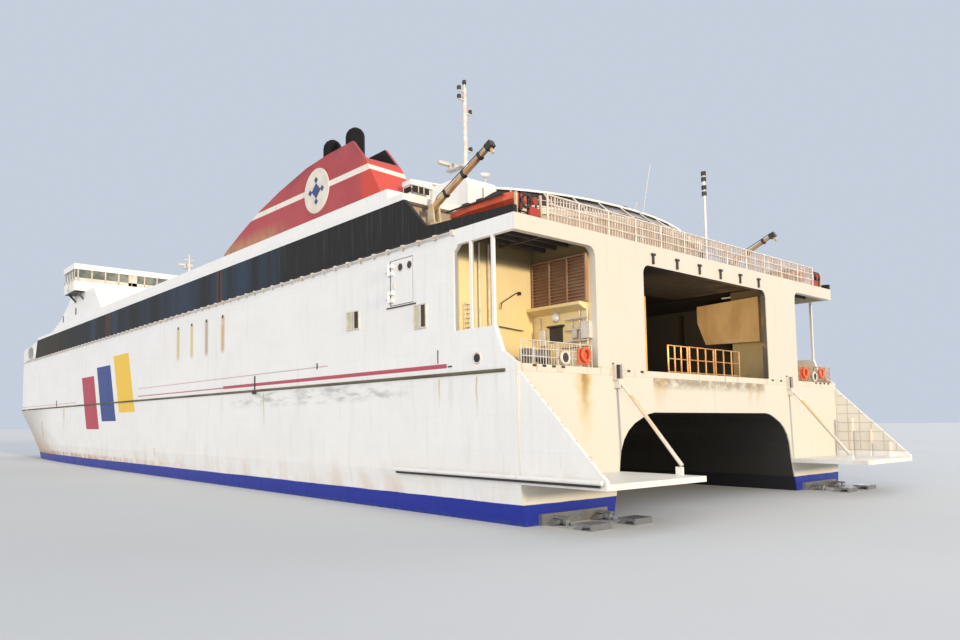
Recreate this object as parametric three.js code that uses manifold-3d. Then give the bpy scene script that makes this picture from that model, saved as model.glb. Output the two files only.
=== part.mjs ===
// Twin-hulled high-speed passenger and vehicle ferry, a scale model at 1:10, in millimetres.
// +X points to the bow, +Y to port and +Z up. The origin lies amidships on the centreline, at the waterline.
import * as THREE from "three";
import { mergeVertices } from "three/addons/utils/BufferGeometryUtils.js";
import Module from "manifold-3d";

const wasm = await Module();
wasm.setup();

// Driving dimensions
const STERN = -5770; // the stern's upper edge
const BOW = 6330;
const HALF_BEAM = 2000;
const KEEL_Z = -480;
const BOOT_TOP_Z = 112;
const TUBE_Z = 260;
const TUNNEL_TOP_Z = 602;
const KNUCKLE_Z = 819;
const DECK_Z = 860; // vehicle and mooring deck
const OPENING_TOP_Z = 1578;
const UPPER_DECK_Z = 1670;
const BAND_TOP_Z = 1965;
const ROOF_Z = 2010;
const HOUSE_TOP_Z = 2135;
const PLATE = 30; // a plated and framed wall or deck
const GAP = 0.3; // between pieces that touch
const CLEAR = 5; // round pieces that move

// Plan of the bow: straight sides to TURN, then a blunt end
const TURN = STERN + 11200;
const BOW_BLUNTNESS = 4;

const COLOURS = {
  white: [0xe9e4da, 0.55, 0],
  cream: [0xf4e6c8, 0.55, 0],
  yellow: [0xf0d27c, 0.6, 0],
  band: [0x2c3137, 0.35, 0.1],
  red: [0xb5404a, 0.5, 0],
  black: [0x16161a, 0.7, 0.1],
  blue: [0x2038a0, 0.5, 0],
  glass: [0x2b333c, 0.12, 0.2],
  deck: [0x5c6664, 0.8, 0],
  steel: [0x8d9094, 0.45, 0.6],
  orange: [0xd8452b, 0.5, 0],
  tan: [0xc58a4a, 0.6, 0.1],
};

// Solids

function toSolid(geometry) {
  const plain = geometry.index ? geometry.toNonIndexed() : geometry.clone();
  plain.deleteAttribute("normal");
  plain.deleteAttribute("uv");
  const merged = mergeVertices(plain, 1e-3);
  return new wasm.Manifold(
    new wasm.Mesh({
      numProp: 3,
      vertProperties: merged.attributes.position.array,
      triVerts: new Uint32Array(merged.index.array),
    }),
  );
}

function toGeometry(solid) {
  const mesh = solid.getMesh();
  const count = mesh.numVert;
  const points = new Float32Array(count * 3);
  for (let i = 0; i < count; i++) {
    points.set(mesh.vertProperties.subarray(i * mesh.numProp, i * mesh.numProp + 3), i * 3);
  }
  const geometry = new THREE.BufferGeometry();
  geometry.setAttribute("position", new THREE.BufferAttribute(points, 3));
  geometry.setIndex(new THREE.BufferAttribute(new Uint32Array(mesh.triVerts), 1));
  return geometry;
}

function join(...solids) {
  return solids.reduce((whole, solid) => whole.add(solid));
}

function box(x0, x1, y0, y1, z0, z1) {
  const geometry = new THREE.BoxGeometry(x1 - x0, y1 - y0, z1 - z0);
  geometry.translate((x0 + x1) / 2, (y0 + y1) / 2, (z0 + z1) / 2);
  return toSolid(geometry);
}

// Prisms: an outline of [x, z] points along Y, of [y, z] points along X, or of [x, y] points along Z.
// An outline may be given either way round, and may be a THREE.Shape with holes.
function extrude(outline, from, to) {
  const shape = outline instanceof THREE.Shape ? outline : new THREE.Shape(outline.map((p) => new THREE.Vector2(...p)));
  const geometry = new THREE.ExtrudeGeometry(shape, { depth: to - from, bevelEnabled: false, curveSegments: 6 });
  geometry.translate(0, 0, from);
  return geometry;
}

function alongZ(outline, z0, z1) {
  return toSolid(extrude(outline, z0, z1));
}

function alongY(outline, y0, y1) {
  const geometry = extrude(outline, -y1, -y0);
  geometry.rotateX(Math.PI / 2);
  return toSolid(geometry);
}

function alongX(outline, x0, x1) {
  const geometry = extrude(outline, x0, x1);
  geometry.applyMatrix4(new THREE.Matrix4().set(0, 0, 1, 0, 1, 0, 0, 0, 0, 1, 0, 0, 0, 0, 0, 1));
  return toSolid(geometry);
}

function cylinder(radius, from, to, sides = 20, topRadius = radius) {
  const a = new THREE.Vector3(...from);
  const b = new THREE.Vector3(...to);
  const geometry = new THREE.CylinderGeometry(topRadius, radius, a.distanceTo(b), sides);
  const turn = new THREE.Quaternion().setFromUnitVectors(
    new THREE.Vector3(0, 1, 0),
    b.clone().sub(a).normalize(),
  );
  geometry.applyQuaternion(turn);
  geometry.translate(...a.add(b).multiplyScalar(0.5).toArray());
  return toSolid(geometry);
}

// A closed skin over sections that all have the same number of [x, y, z] points
function loft(sections) {
  const size = sections[0].length;
  const points = sections.flat(2);
  const faces = [];
  for (let i = 0; i < sections.length - 1; i++) {
    for (let j = 0; j < size; j++) {
      const a = i * size + j;
      const b = i * size + ((j + 1) % size);
      faces.push(a, b, b + size, a, b + size, a + size);
    }
  }
  const last = (sections.length - 1) * size;
  const flat = sections[0].map((p) => new THREE.Vector2(p[1], p[2]));
  for (const [a, b, c] of THREE.ShapeUtils.triangulateShape(flat, [])) {
    faces.push(a, c, b, last + a, last + b, last + c);
  }
  const geometry = new THREE.BufferGeometry();
  geometry.setAttribute("position", new THREE.Float32BufferAttribute(points, 3));
  geometry.setIndex(faces);
  return toSolid(geometry);
}

function mirrored(solid) {
  return solid.mirror([0, 1, 0]);
}

// Scene graph

const group = new THREE.Group();
group.name = "passenger_ferry";

function add(name, solid, colour) {
  const [tint, roughness, metalness] = COLOURS[colour];
  const material = new THREE.MeshStandardMaterial({ color: tint, roughness, metalness });
  const mesh = new THREE.Mesh(toGeometry(solid), material);
  mesh.name = name;
  group.add(mesh);
}

function addPair(name, solid, colour) {
  add("port_" + name, solid, colour);
  add("starboard_" + name, mirrored(solid), colour);
}

// Hulls

// Plan outline of the ship, moved in by an inset, from x = aft forward
function planOutline(inset, aft) {
  const half = HALF_BEAM - inset;
  const length = BOW - inset - TURN;
  const outline = [[aft, -half]];
  const steps = 20;
  for (let i = 0; i <= steps; i++) {
    const angle = Math.PI * (i / steps - 0.5);
    const along = Math.pow(Math.abs(Math.cos(angle)), 2 / BOW_BLUNTNESS);
    const across = Math.pow(Math.abs(Math.sin(angle)), 2 / BOW_BLUNTNESS) * Math.sign(angle);
    const x = TURN + length * along;
    if (x > aft) outline.push([x, half * across]);
  }
  outline.push([aft, half]);
  return outline;
}

// Levels of a demi-hull's section: height, half-breadth position, where the stem lies and how fine the bow is
const HULL_OUTER = [
  // z, y, stem x, taper starts at, power
  { z: KEEL_Z, y: 1800, stem: BOW - 1100, start: 0.6, power: 1.6 },
  { z: -250, y: 1900, stem: BOW - 900, start: 0.6, power: 1.8 },
  { z: 0, y: 1955, stem: BOW - 800, start: 0.62, power: 2 },
  { z: BOOT_TOP_Z, y: 1972, stem: BOW - 740, start: 0.64, power: 2 },
  { z: TUBE_Z, y: 1990, stem: BOW - 640, start: 0.7, power: 2.3 },
  { z: 520, y: 1996, stem: BOW - 390, start: 0.8, power: 2.8 },
  { z: 700, y: 1999, stem: BOW - 200, start: 0.88, power: 3.2 },
  { z: KNUCKLE_Z, y: HALF_BEAM, stem: BOW - 110, start: 0.93, power: 3.6 },
];
const HULL_INNER = [
  { z: KNUCKLE_Z, y: 740, stem: BOW - 110, start: 0.93, power: 3.6 },
  { z: TUNNEL_TOP_Z, y: 740, stem: BOW - 260, start: 0.86, power: 3.1 },
  { z: 592, y: 800, stem: BOW - 275, start: 0.85, power: 3 },
  { z: 579, y: 844, stem: BOW - 292, start: 0.84, power: 2.95 },
  { z: 563, y: 884, stem: BOW - 310, start: 0.83, power: 2.9 },
  { z: 534, y: 956, stem: BOW - 350, start: 0.815, power: 2.8 },
  { z: 493, y: 1018, stem: BOW - 400, start: 0.8, power: 2.7 },
  { z: 438, y: 1068, stem: BOW - 457, start: 0.775, power: 2.6 },
  { z: 372, y: 1100, stem: BOW - 520, start: 0.75, power: 2.5 },
  { z: 310, y: 1113, stem: BOW - 580, start: 0.725, power: 2.4 },
  { z: TUBE_Z, y: 1120, stem: BOW - 640, start: 0.7, power: 2.3 },
  { z: 0, y: 1190, stem: BOW - 800, start: 0.62, power: 2 },
  { z: -250, y: 1260, stem: BOW - 900, start: 0.6, power: 1.8 },
  { z: KEEL_Z, y: 1400, stem: BOW - 1100, start: 0.6, power: 1.6 },
];
const STEM_Y = 1690;
const STEM_FLAT = 0.02;
const STATIONS = [0, 0.6, 0.7, 0.78, 0.85, 0.9, 0.94, 0.97, 0.99, 1];

function taper(level, u) {
  if (u <= level.start) return 1;
  const t = (u - level.start) / (1 - level.start);
  return Math.max(STEM_FLAT, Math.pow(1 - Math.pow(t, level.power), 1 / level.power));
}

function demiHull() {
  const levels = [...HULL_OUTER, ...HULL_INNER];
  const hull = loft(
    STATIONS.map((u) =>
      levels.map((level) => [
        STERN + (level.stem - STERN) * u,
        STEM_Y + (level.y - STEM_Y) * taper(level, u),
        level.z,
      ]),
    ),
  );
  const tubeEnd = STERN + 1020;
  return hull.add(rubbingTube(STERN, tubeEnd, [STERN + 60, STERN + 380, STERN + 700, tubeEnd - 30]));
}

function crossStructure() {
  const half = 740 - GAP;
  const top = KNUCKLE_Z;
  return alongY(
    [
      [STERN, TUNNEL_TOP_Z],
      [STERN + 9600, TUNNEL_TOP_Z],
      [STERN + 11300, 700],
      [STERN + 11700, top],
      [STERN, top],
    ],
    -half,
    half,
  );
}

// Sides of the vehicle deck

const BAY = { length: 470, sill: 1075, innerY: 1300, wall: 28 };
const BAY_POSTS = [163, 332];
const POST = 18;
const DOOR = { x0: STERN + 837, x1: STERN + 1070, z0: 1295, z1: 1590 };
const HINGE_R = 9;
const DOOR_AXIS_Y = HALF_BEAM + HINGE_R + 3;

// One hinge knuckle on the side door's axis
function doorKnuckle(z0, z1) {
  return cylinder(HINGE_R, [DOOR.x1, DOOR_AXIS_Y, z0], [DOOR.x1, DOOR_AXIS_Y, z1], 12);
}

function sideShell() {
  const z0 = KNUCKLE_Z + GAP;
  const z1 = UPPER_DECK_Z;
  const edge = STERN + BAY.length;
  const round = 40;
  const outline = [
    [STERN, z0],
    [TURN, z0],
    [TURN, z1],
    [STERN, z1],
    [STERN, OPENING_TOP_Z],
    [edge - round, OPENING_TOP_Z],
    [edge, OPENING_TOP_Z - round],
    [edge, BAY.sill],
    [STERN + 155, BAY.sill],
    [STERN + 105, 935],
    [STERN + 10, DECK_Z + 6],
    [STERN, DECK_Z + 6],
  ];
  let shell = alongY(outline, HALF_BEAM - PLATE, HALF_BEAM);
  for (const x of BAY_POSTS) {
    const post = box(STERN + x - POST / 2, STERN + x + POST / 2, HALF_BEAM - POST, HALF_BEAM, BAY.sill - 5, OPENING_TOP_Z + 5);
    shell = shell.add(post);
  }
  const hole = box(DOOR.x0, DOOR.x1, HALF_BEAM - 60, HALF_BEAM + 60, DOOR.z0, DOOR.z1);
  shell = shell.subtract(hole);
  for (const z of [DOOR.z0 + 60, DOOR.z1 - 60]) {
    const arm = box(DOOR.x1, DOOR.x1 + 40, HALF_BEAM - 1, DOOR_AXIS_Y + 4, z - 12, z + 12);
    shell = join(shell, doorKnuckle(z - 12, z + 12), arm);
  }
  return shell;
}

function sideDoor() {
  const panel = box(
    DOOR.x0 + CLEAR,
    DOOR.x1 - CLEAR - 8,
    HALF_BEAM - PLATE + 8,
    HALF_BEAM,
    DOOR.z0 + CLEAR,
    DOOR.z1 - CLEAR,
  );
  let door = panel;
  for (const middle of [DOOR.z0 + 60, DOOR.z1 - 60]) {
    for (const side of [-1, 1]) {
      const z = middle + side * (24 + GAP);
      const arm = box(DOOR.x1 - 40, DOOR.x1, HALF_BEAM - 2, DOOR_AXIS_Y + 4, z - 12, z + 12);
      door = join(door, doorKnuckle(z - 12, z + 12), arm);
    }
  }
  return door;
}

function ringShell(aft, z0, z1) {
  const outer = alongZ(planOutline(0, aft), z0, z1);
  const inner = alongZ(planOutline(PLATE, aft - 10), z0 - 5, z1 + 5);
  return outer.subtract(inner);
}

// Joins the two arms of a U-shaped shell so that it stays one body
function bowShell() {
  return ringShell(TURN + GAP, KNUCKLE_Z + GAP, UPPER_DECK_Z);
}

function vehicleDeck() {
  return alongZ(planOutline(PLATE + GAP, STERN), KNUCKLE_Z + 2 * GAP, DECK_Z);
}

function upperDeck() {
  const deck = alongZ(planOutline(PLATE + GAP, STERN + STERN_FRAME_T + GAP), UPPER_DECK_Z - PLATE, UPPER_DECK_Z);
  const fittings = join(cranePedestal(), boatCradle(), bayBeams());
  return join(deck, fittings, mirrored(fittings));
}

// Deck beams over a mooring bay, with a girder under them
function bayBeams() {
  const y0 = BAY.innerY + 1;
  const y1 = HALF_BEAM - PLATE - GAP;
  const top = UPPER_DECK_Z - PLATE + 5;
  const beams = [100, 190, 280, 370].map((x) => box(STERN + x, STERN + x + 14, y0, y1, 1612, top));
  const girder = box(STERN + STERN_FRAME_T + GAP, STERN + 440, 1630, 1650, 1606, top);
  return join(girder, ...beams);
}

// Stern

const CENTRE_OPENING = { half: 810, round: 60, top: 1535 };
const STERN_FRAME_T = 40;
const HINGE = { x: STERN + 62, z: 1586, r: 12 };
const HINGE_YS = [-700, -420, -140, 140, 420, 700];
const HINGE_W = 22;

function hingeBarrel(y0, y1) {
  return cylinder(HINGE.r, [HINGE.x, y0, HINGE.z], [HINGE.x, y1, HINGE.z], 12);
}

function roundedRect(x0, x1, y0, y1, r) {
  const shape = new THREE.Shape();
  shape.moveTo(x0, y0);
  shape.lineTo(x1, y0);
  shape.lineTo(x1, y1 - r);
  shape.absarc(x1 - r, y1 - r, r, 0, Math.PI / 2, false);
  shape.lineTo(x0 + r, y1);
  shape.absarc(x0 + r, y1 - r, r, Math.PI / 2, Math.PI, false);
  shape.closePath();
  return shape;
}

function sternFrame() {
  const half = HALF_BEAM - PLATE - GAP;
  const x0 = STERN;
  const x1 = STERN + STERN_FRAME_T;
  const sheet = box(x0, x1, -half, half, DECK_Z + GAP, UPPER_DECK_Z);
  const centre = roundedRect(-CENTRE_OPENING.half, CENTRE_OPENING.half, DECK_Z - 20, CENTRE_OPENING.top, CENTRE_OPENING.round);
  let frame = sheet.subtract(alongX(centre, x0 - 5, x1 + 5));
  for (const side of [-1, 1]) {
    const bay = roundedRect(BAY.innerY, HALF_BEAM + 300, DECK_Z - 20, OPENING_TOP_Z, 60);
    const hole = alongX(bay, x0 - 5, x1 + 5);
    frame = frame.subtract(side > 0 ? hole : mirrored(hole));
  }
  for (const y of HINGE_YS) {
    const arm = box(x1 - 2, HINGE.x, y - HINGE_W / 2, y + HINGE_W / 2, HINGE.z - 8, HINGE.z + 8);
    frame = join(frame, arm, hingeBarrel(y - HINGE_W / 2, y + HINGE_W / 2));
  }
  return frame;
}

// The stern door is stowed flat under the upper deck, ahead of its hinges
const STERN_DOOR = { half: 850, length: 690, t: 24 };

function sternDoor() {
  const x0 = HINGE.x + 22;
  const z1 = HINGE.z + 12;
  let door = box(x0, x0 + STERN_DOOR.length, -STERN_DOOR.half, STERN_DOOR.half, z1 - STERN_DOOR.t, z1);
  for (const y of HINGE_YS) {
    const from = y + HINGE_W / 2 + GAP;
    const to = from + HINGE_W;
    const arm = box(HINGE.x, x0 + 10, from, to, HINGE.z - 8, HINGE.z + 8);
    door = join(door, arm, hingeBarrel(from, to));
  }
  return door;
}

// Inner walls of a mooring bay: the bulkhead across its forward end and the wall along the hall, with its ledge
function bayWalls() {
  const z0 = DECK_Z + GAP;
  const z1 = UPPER_DECK_Z - PLATE - GAP;
  const outer = HALF_BEAM - PLATE - GAP;
  const x0 = STERN + STERN_FRAME_T + GAP;
  const x1 = STERN + BAY.length + 6;
  const bulkhead = box(x1, x1 + BAY.wall, BAY.innerY - BAY.wall, outer, z0, z1);
  const wall = box(x0, x1 + BAY.wall, BAY.innerY - BAY.wall, BAY.innerY, z0, z1);
  const ledge = alongX(
    [
      [BAY.innerY - 1, 1210],
      [BAY.innerY + 70, 1240],
      [BAY.innerY + 70, 1258],
      [BAY.innerY - 1, 1258],
    ],
    x0 + 30,
    x1 + 1,
  );
  return join(bulkhead, wall, ledge, ventTrunk());
}

// Casing of the air trunk on the hall's side of the wall
function ventTrunk() {
  const face = BAY.innerY - BAY.wall;
  return alongY(
    [
      [STERN + 240, 1195],
      [STERN + 700, 1205],
      [STERN + 770, 1400],
      [STERN + 770, 1545],
      [STERN + 240, 1566],
    ],
    face - 75,
    face + 1,
  );
}

// Louvres over the trunk's mouth, three bays in one frame
const LOUVRE = { x0: STERN + 52, x1: STERN + 468, z0: 1262, z1: 1548, depth: 26, rim: 9, slats: 13 };

function louvrePanel() {
  const { x0, x1, z0, z1, depth, rim, slats } = LOUVRE;
  const back = BAY.innerY + GAP;
  const front = back + depth;
  const pieces = [
    box(x0, x1, back, back + 5, z0, z1),
    box(x0, x1, back, front, z0, z0 + rim),
    box(x0, x1, back, front, z1 - rim, z1),
  ];
  for (let i = 0; i <= 3; i++) {
    const x = x0 + ((x1 - x0 - rim) * i) / 3;
    pieces.push(box(x, x + rim, back, front, z0, z1));
  }
  const step = (z1 - z0 - 2 * rim) / slats;
  for (let i = 0; i < slats; i++) {
    const z = z0 + rim + step * i;
    pieces.push(
      alongX(
        [
          [back + 1, z + step * 0.75],
          [back + 1, z + step * 0.95],
          [front - 3, z + step * 0.45],
          [front - 3, z + step * 0.25],
        ],
        x0 + 1,
        x1 - 1,
      ),
    );
  }
  return join(...pieces);
}

function mooringWinch() {
  const x = STERN + 250;
  const y = 1560;
  const z = DECK_Z + 75;
  const drum = cylinder(34, [x, y - 70, z], [x, y + 70, z], 16);
  const base = box(x - 50, x + 50, y - 90, y + 90, DECK_Z + GAP, DECK_Z + 22);
  const cheeks = [-80, 80].map((dy) => box(x - 42, x + 42, y + dy - 8, y + dy + 8, DECK_Z + 15, z + 42));
  return join(base, ...cheeks, drum, cylinder(46, [x, y - 74, z], [x, y - 60, z], 16), cylinder(14, [x, y + 70, z], [x, y + 118, z], 12));
}

// Wing plate aft of the transom, with the platform inboard of it
const WING = { aft: STERN - 530, bottom: 222, tip: 262, t: 24, platformInner: 1110, platformT: 30 };

function wingPlatform() {
  const x1 = STERN - GAP;
  const plate = alongY(
    [
      [x1, WING.bottom],
      [WING.aft, WING.bottom],
      [WING.aft, WING.tip],
      [STERN - 4, KNUCKLE_Z],
      [x1, KNUCKLE_Z],
    ],
    1990 - WING.t,
    1990,
  );
  const platform = box(WING.aft, x1, WING.platformInner, 1990 - WING.t + 2, WING.bottom, WING.bottom + WING.platformT);
  const ribs = [0.25, 0.5, 0.75].map((f) => {
    const x = STERN + (WING.aft - STERN) * f;
    return box(x - 6, x + 6, 1925, 1990 - WING.t + 2, WING.bottom + 5, WING.bottom + 60 + 380 * (1 - f));
  });
  const eye = box(STERN - 420, STERN - 380, 1142, 1158, WING.bottom + 20, WING.bottom + 75);
  const tube = rubbingTube(WING.aft + 10, x1, [WING.aft + 60, STERN - 260, STERN - 60]);
  return join(plate, platform, ...ribs, eye, tube);
}

const STAY = { y: 1125, top: [STERN - 22, 790], foot: [STERN - 400, 302], r: 11 };

function wingStay() {
  const [xt, zt] = STAY.top;
  const [xf, zf] = STAY.foot;
  const rod = cylinder(STAY.r, [xt, STAY.y, zt], [xf, STAY.y, zf], 10);
  const pad = box(STERN - 36, STERN - GAP, STAY.y - 26, STAY.y + 26, zt - 45, zt + 10);
  return join(rod, pad);
}

// A rubbing tube along the side, on short feet
function rubbingTube(x0, x1, feet) {
  const y = HALF_BEAM + 14;
  const tube = cylinder(12, [x0, y, TUBE_Z], [x1, y, TUBE_Z], 10);
  const blocks = feet.map((x) => box(x - 10, x + 10, 1980, y, TUBE_Z - 6, TUBE_Z + 6));
  return join(tube, ...blocks);
}

// Waterjets, two in each transom
const JETS = [
  { name: "outer", y: 1755 },
  { name: "inner", y: 1385 },
];
const JET = { z: -60, r: 80, duct: 70, length: 150 };

function jetDucts() {
  const pieces = JETS.map(({ y }) =>
    cylinder(JET.r + 14, [STERN - JET.duct, y, JET.z], [STERN - GAP, y, JET.z], 24),
  );
  const plate = box(STERN - 24, STERN - GAP, 1285, 1855, JET.z - 120, JET.z + 120);
  let whole = join(plate, ...pieces);
  for (const { y } of JETS) {
    whole = whole.subtract(cylinder(JET.r - 12, [STERN - 200, y, JET.z], [STERN - 12, y, JET.z], 24));
    for (const side of [-1, 1]) {
      const z = JET.z + side * (JET.r + 22);
      whole = whole.add(box(STERN - 126, STERN - 20, y - 14, y + 14, z - 7, z + 7));
      const pin = cylinder(9, [STERN - 112, y, z], [STERN - 112, y, z - side * 10], 10);
      whole = whole.add(pin);
    }
  }
  return whole;
}

// A nozzle that turns on its upper and lower pins
function jetNozzle(y) {
  const x = STERN - 112;
  const front = x + 34;
  const back = x - JET.length;
  const outer = cylinder(50, [back, y, JET.z], [front, y, JET.z], 24, 64);
  const bore = cylinder(40, [back - 5, y, JET.z], [front + 5, y, JET.z], 24, 54);
  const bosses = [-1, 1].map((side) => {
    const from = JET.z + side * 50;
    const to = JET.z + side * (JET.r + 12 - GAP);
    return cylinder(14, [x, y, from], [x, y, to], 12);
  });
  const ears = [-1, 1].map((side) =>
    cylinder(8, [back + 40, y + side * 46, JET.z], [back + 40, y + side * 82, JET.z], 24),
  );
  const solid = join(outer, ...bosses, ...ears);
  return solid.subtract(bore);
}

// A reversing bucket that hangs on the nozzle's side pins, lifted clear of the jet
function jetBucket(y) {
  const x = STERN - 112 - JET.length + 40;
  const arms = [-1, 1].map((side) => {
    const yc = y + side * 76;
    return alongY(
      [
        [x - 14, JET.z - 14],
        [x + 14, JET.z - 14],
        [x + 14, JET.z + 60],
        [x - 30, JET.z + 92],
        [x - 62, JET.z + 92],
        [x - 14, JET.z + 40],
      ],
      yc - 6,
      yc + 6,
    );
  });
  const scoop = box(x - 90, x + 6, y - 80, y + 80, JET.z + 80, JET.z + 92);
  const lip = box(x - 100, x - 88, y - 80, y + 80, JET.z + 50, JET.z + 92);
  const holes = [-1, 1].map((side) =>
    cylinder(8.4, [x, y + side * 66, JET.z], [x, y + side * 86, JET.z], 24),
  );
  return join(...arms, scoop, lip).subtract(join(...holes));
}

// Passenger deck

const BAND_AFT = STERN + 920;
const BAND_FWD = STERN + 10650;

function saloonWall() {
  const z0 = UPPER_DECK_Z + GAP;
  const outline = [
    [STERN + 2, z0],
    [BAND_FWD, z0],
    [BAND_FWD - 120, BAND_TOP_Z],
    [BAND_AFT, BAND_TOP_Z],
    [STERN + 730, 1760],
    [STERN + 700, 1745],
    [STERN + 2, 1712],
  ];
  return alongY(outline, HALF_BEAM - PLATE, HALF_BEAM);
}

function bowBulwark() {
  const z0 = UPPER_DECK_Z + GAP;
  const ring = ringShell(BAND_FWD + GAP, z0, 1870);
  const brackets = [-1, 1].map((side) => {
    const outline = [
      [BAND_FWD + GAP, z0],
      [BAND_FWD + 400, z0],
      [BAND_FWD + 400, 1870],
      [BAND_FWD - 120 + GAP, BAND_TOP_Z],
    ];
    const y = side * (HALF_BEAM - PLATE / 2);
    return alongY(outline, y - PLATE / 2, y + PLATE / 2);
  });
  return join(ring, ...brackets, foreDeck());
}

// The saloon's aft wall, with the round wall of the lounge that stands aft of it
function saloonAftWall() {
  const half = HALF_BEAM - PLATE - GAP;
  const z0 = UPPER_DECK_Z + GAP;
  const x0 = BAND_AFT + 60;
  const wall = box(x0, x0 + PLATE, -half, half, z0, BAND_TOP_Z);
  const outer = alongZ(loungePlan(LOUNGE.wall, 0), z0, BAND_TOP_Z);
  const inner = alongZ(loungePlan(LOUNGE.wall, PLATE), z0 - 5, BAND_TOP_Z + 5);
  const ahead = box(x0 + 5, x0 + 2000, -HALF_BEAM, HALF_BEAM, z0 - 10, BAND_TOP_Z + 10);
  return join(wall, outer.subtract(inner).subtract(ahead));
}

function saloonRoof() {
  const aft = BAND_AFT + 10;
  const fwd = BAND_FWD - 125;
  return box(aft, fwd, -HALF_BEAM, HALF_BEAM, BAND_TOP_Z + GAP, ROOF_Z);
}

// The round part of the roof, under the lounge's glazing
function loungeEave() {
  const whole = alongZ(loungePlan(LOUNGE.eave, 0), BAND_TOP_Z + GAP, ROOF_Z);
  return whole.intersect(box(STERN, BAND_AFT + 10 - GAP, -HALF_BEAM, HALF_BEAM, BAND_TOP_Z, ROOF_Z + 5));
}

const HOUSE_HALF = 1890;

function upperHouse() {
  const x0 = LOUNGE.fwd + GAP;
  const x1 = STERN + 7600;
  const house = box(x0, x1, -HOUSE_HALF, HOUSE_HALF, ROOF_Z + GAP, HOUSE_TOP_Z);
  const upper = box(x0, STERN + 2050, -LOUNGE.houseHalf, LOUNGE.houseHalf, HOUSE_TOP_Z - 5, 2205);
  const eaves = box(x0, STERN + 1300, -1690, 1690, HOUSE_TOP_Z - 5, 2205);
  const edge = LOUNGE.cheekOut + GAP;
  const overLounge = box(STERN + 1100, x0, -edge, edge, 2190, 2240);
  const aftRoof = houseRoof(STERN + 1205, STERN + 1300, 1700).subtract(overLounge);
  const foreRoof = houseRoof(STERN + 1299, STERN + 2075, LOUNGE.houseHalf);
  return join(house, upper, eaves, aftRoof, foreRoof);
}

// Cambered roof over the house between the funnels
function houseRoof(x0, x1, half) {
  const crown = alongX(
    [
      [-1700, 2200],
      [1700, 2200],
      [1700, 2235],
      [1200, 2266],
      [0, 2286],
      [-1200, 2266],
      [-1700, 2235],
    ],
    x0,
    x1,
  );
  return crown.intersect(box(x0 - 5, x1 + 5, -half, half, 2190, 2300));
}

function foreHouse() {
  const z0 = ROOF_Z + GAP;
  const front = [
    [STERN + 7600 + GAP, z0],
    [BAND_FWD - 130, z0],
    [STERN + 9800, 2190],
    [STERN + 9450, 2330],
    [STERN + 9250, 2420],
    [STERN + 9150, 2500],
    [STERN + 8000, 2500],
    [STERN + 7600 + GAP, HOUSE_TOP_Z],
  ];
  return alongY(front, -1850, 1850);
}

// The sloping fore deck between the house and the bow bulwark
function foreDeck() {
  const z0 = UPPER_DECK_Z + GAP;
  const plan = join(
    alongZ(planOutline(PLATE / 2, BAND_FWD + 2), z0, 2100),
    alongZ(planOutline(PLATE + GAP, BAND_FWD - 125 + GAP), z0, 2100),
  );
  const profile = [
    [BAND_FWD - 130, z0 - 5],
    [BOW + 10, z0 - 5],
    [BOW + 10, 1850],
    [BAND_FWD + 200, 1930],
    [BAND_FWD - 130, 1960],
  ];
  return plan.intersect(alongY(profile, -HALF_BEAM, HALF_BEAM));
}

// Bridge
const BRIDGE = { x0: STERN + 8400, x1: STERN + 8950, z0: 2500, sill: 2640, head: 2810, top: 2890 };

function bridgeBody() {
  const base = box(BRIDGE.x0, BRIDGE.x1, -HALF_BEAM, HALF_BEAM, BRIDGE.z0 + GAP, BRIDGE.sill);
  const inside = box(BRIDGE.x0 + PLATE, BRIDGE.x1 - PLATE, -HALF_BEAM + PLATE, HALF_BEAM - PLATE, BRIDGE.z0 + PLATE, BRIDGE.sill + 5);
  return base.subtract(inside);
}

function bridgeWindows() {
  const z0 = BRIDGE.sill + GAP;
  const z1 = BRIDGE.head;
  const outer = box(BRIDGE.x0 + 8, BRIDGE.x1 - 8, -HALF_BEAM + 8, HALF_BEAM - 8, z0, z1);
  const inner = box(BRIDGE.x0 + 24, BRIDGE.x1 - 24, -HALF_BEAM + 24, HALF_BEAM - 24, z0 - 5, z1 + 5);
  return outer.subtract(inner);
}

function bridgeRoof() {
  return box(BRIDGE.x0 - 12, BRIDGE.x1 + 12, -HALF_BEAM - 8, HALF_BEAM + 8, BRIDGE.head + GAP, BRIDGE.top);
}

// Funnels: an outline of [x from the stern, z] points
const FUNNEL = [
  [1310, HOUSE_TOP_Z + GAP],
  [3760, HOUSE_TOP_Z + GAP],
  [3740, 2160],
  [3400, 2290],
  [3060, 2406],
  [2700, 2495],
  [2270, 2575],
  [1980, 2595],
  [1640, 2600],
  [1480, 2415],
  [1400, 2290],
];
const FUNNEL_Y = { outer: 1885, inner: 1560, wall: 26 };
const EXHAUSTS = [
  { x: 1640 + 190, top: 2798 },
  { x: 1640 + 500, top: 2800 },
];
const EXHAUST_R = 74;

function funnelCasing() {
  const outline = FUNNEL.map(([x, z]) => [STERN + x, z]);
  const casing = alongY(outline, FUNNEL_Y.inner, FUNNEL_Y.outer);
  const well = box(STERN + 1500, STERN + 2420, FUNNEL_Y.inner + FUNNEL_Y.wall, FUNNEL_Y.outer - FUNNEL_Y.wall, 2400, 2900);
  return casing.subtract(well);
}

function exhaustPair() {
  const y = (FUNNEL_Y.inner + FUNNEL_Y.outer) / 2;
  const base = box(STERN + 1560, STERN + 2360, y - 120, y + 120, 2400 + GAP, 2425);
  const pipes = EXHAUSTS.map(({ x, top }) => {
    const stack = cylinder(EXHAUST_R, [STERN + x, y, 2410], [STERN + x, y, top - EXHAUST_R], 24);
    const dome = new THREE.SphereGeometry(EXHAUST_R, 24, 8, 0, 2 * Math.PI, 0, Math.PI);
    dome.rotateX(Math.PI / 2);
    dome.translate(STERN + x, y, top - EXHAUST_R);
    return join(stack, toSolid(dome));
  });
  return join(base, ...pipes);
}

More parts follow.
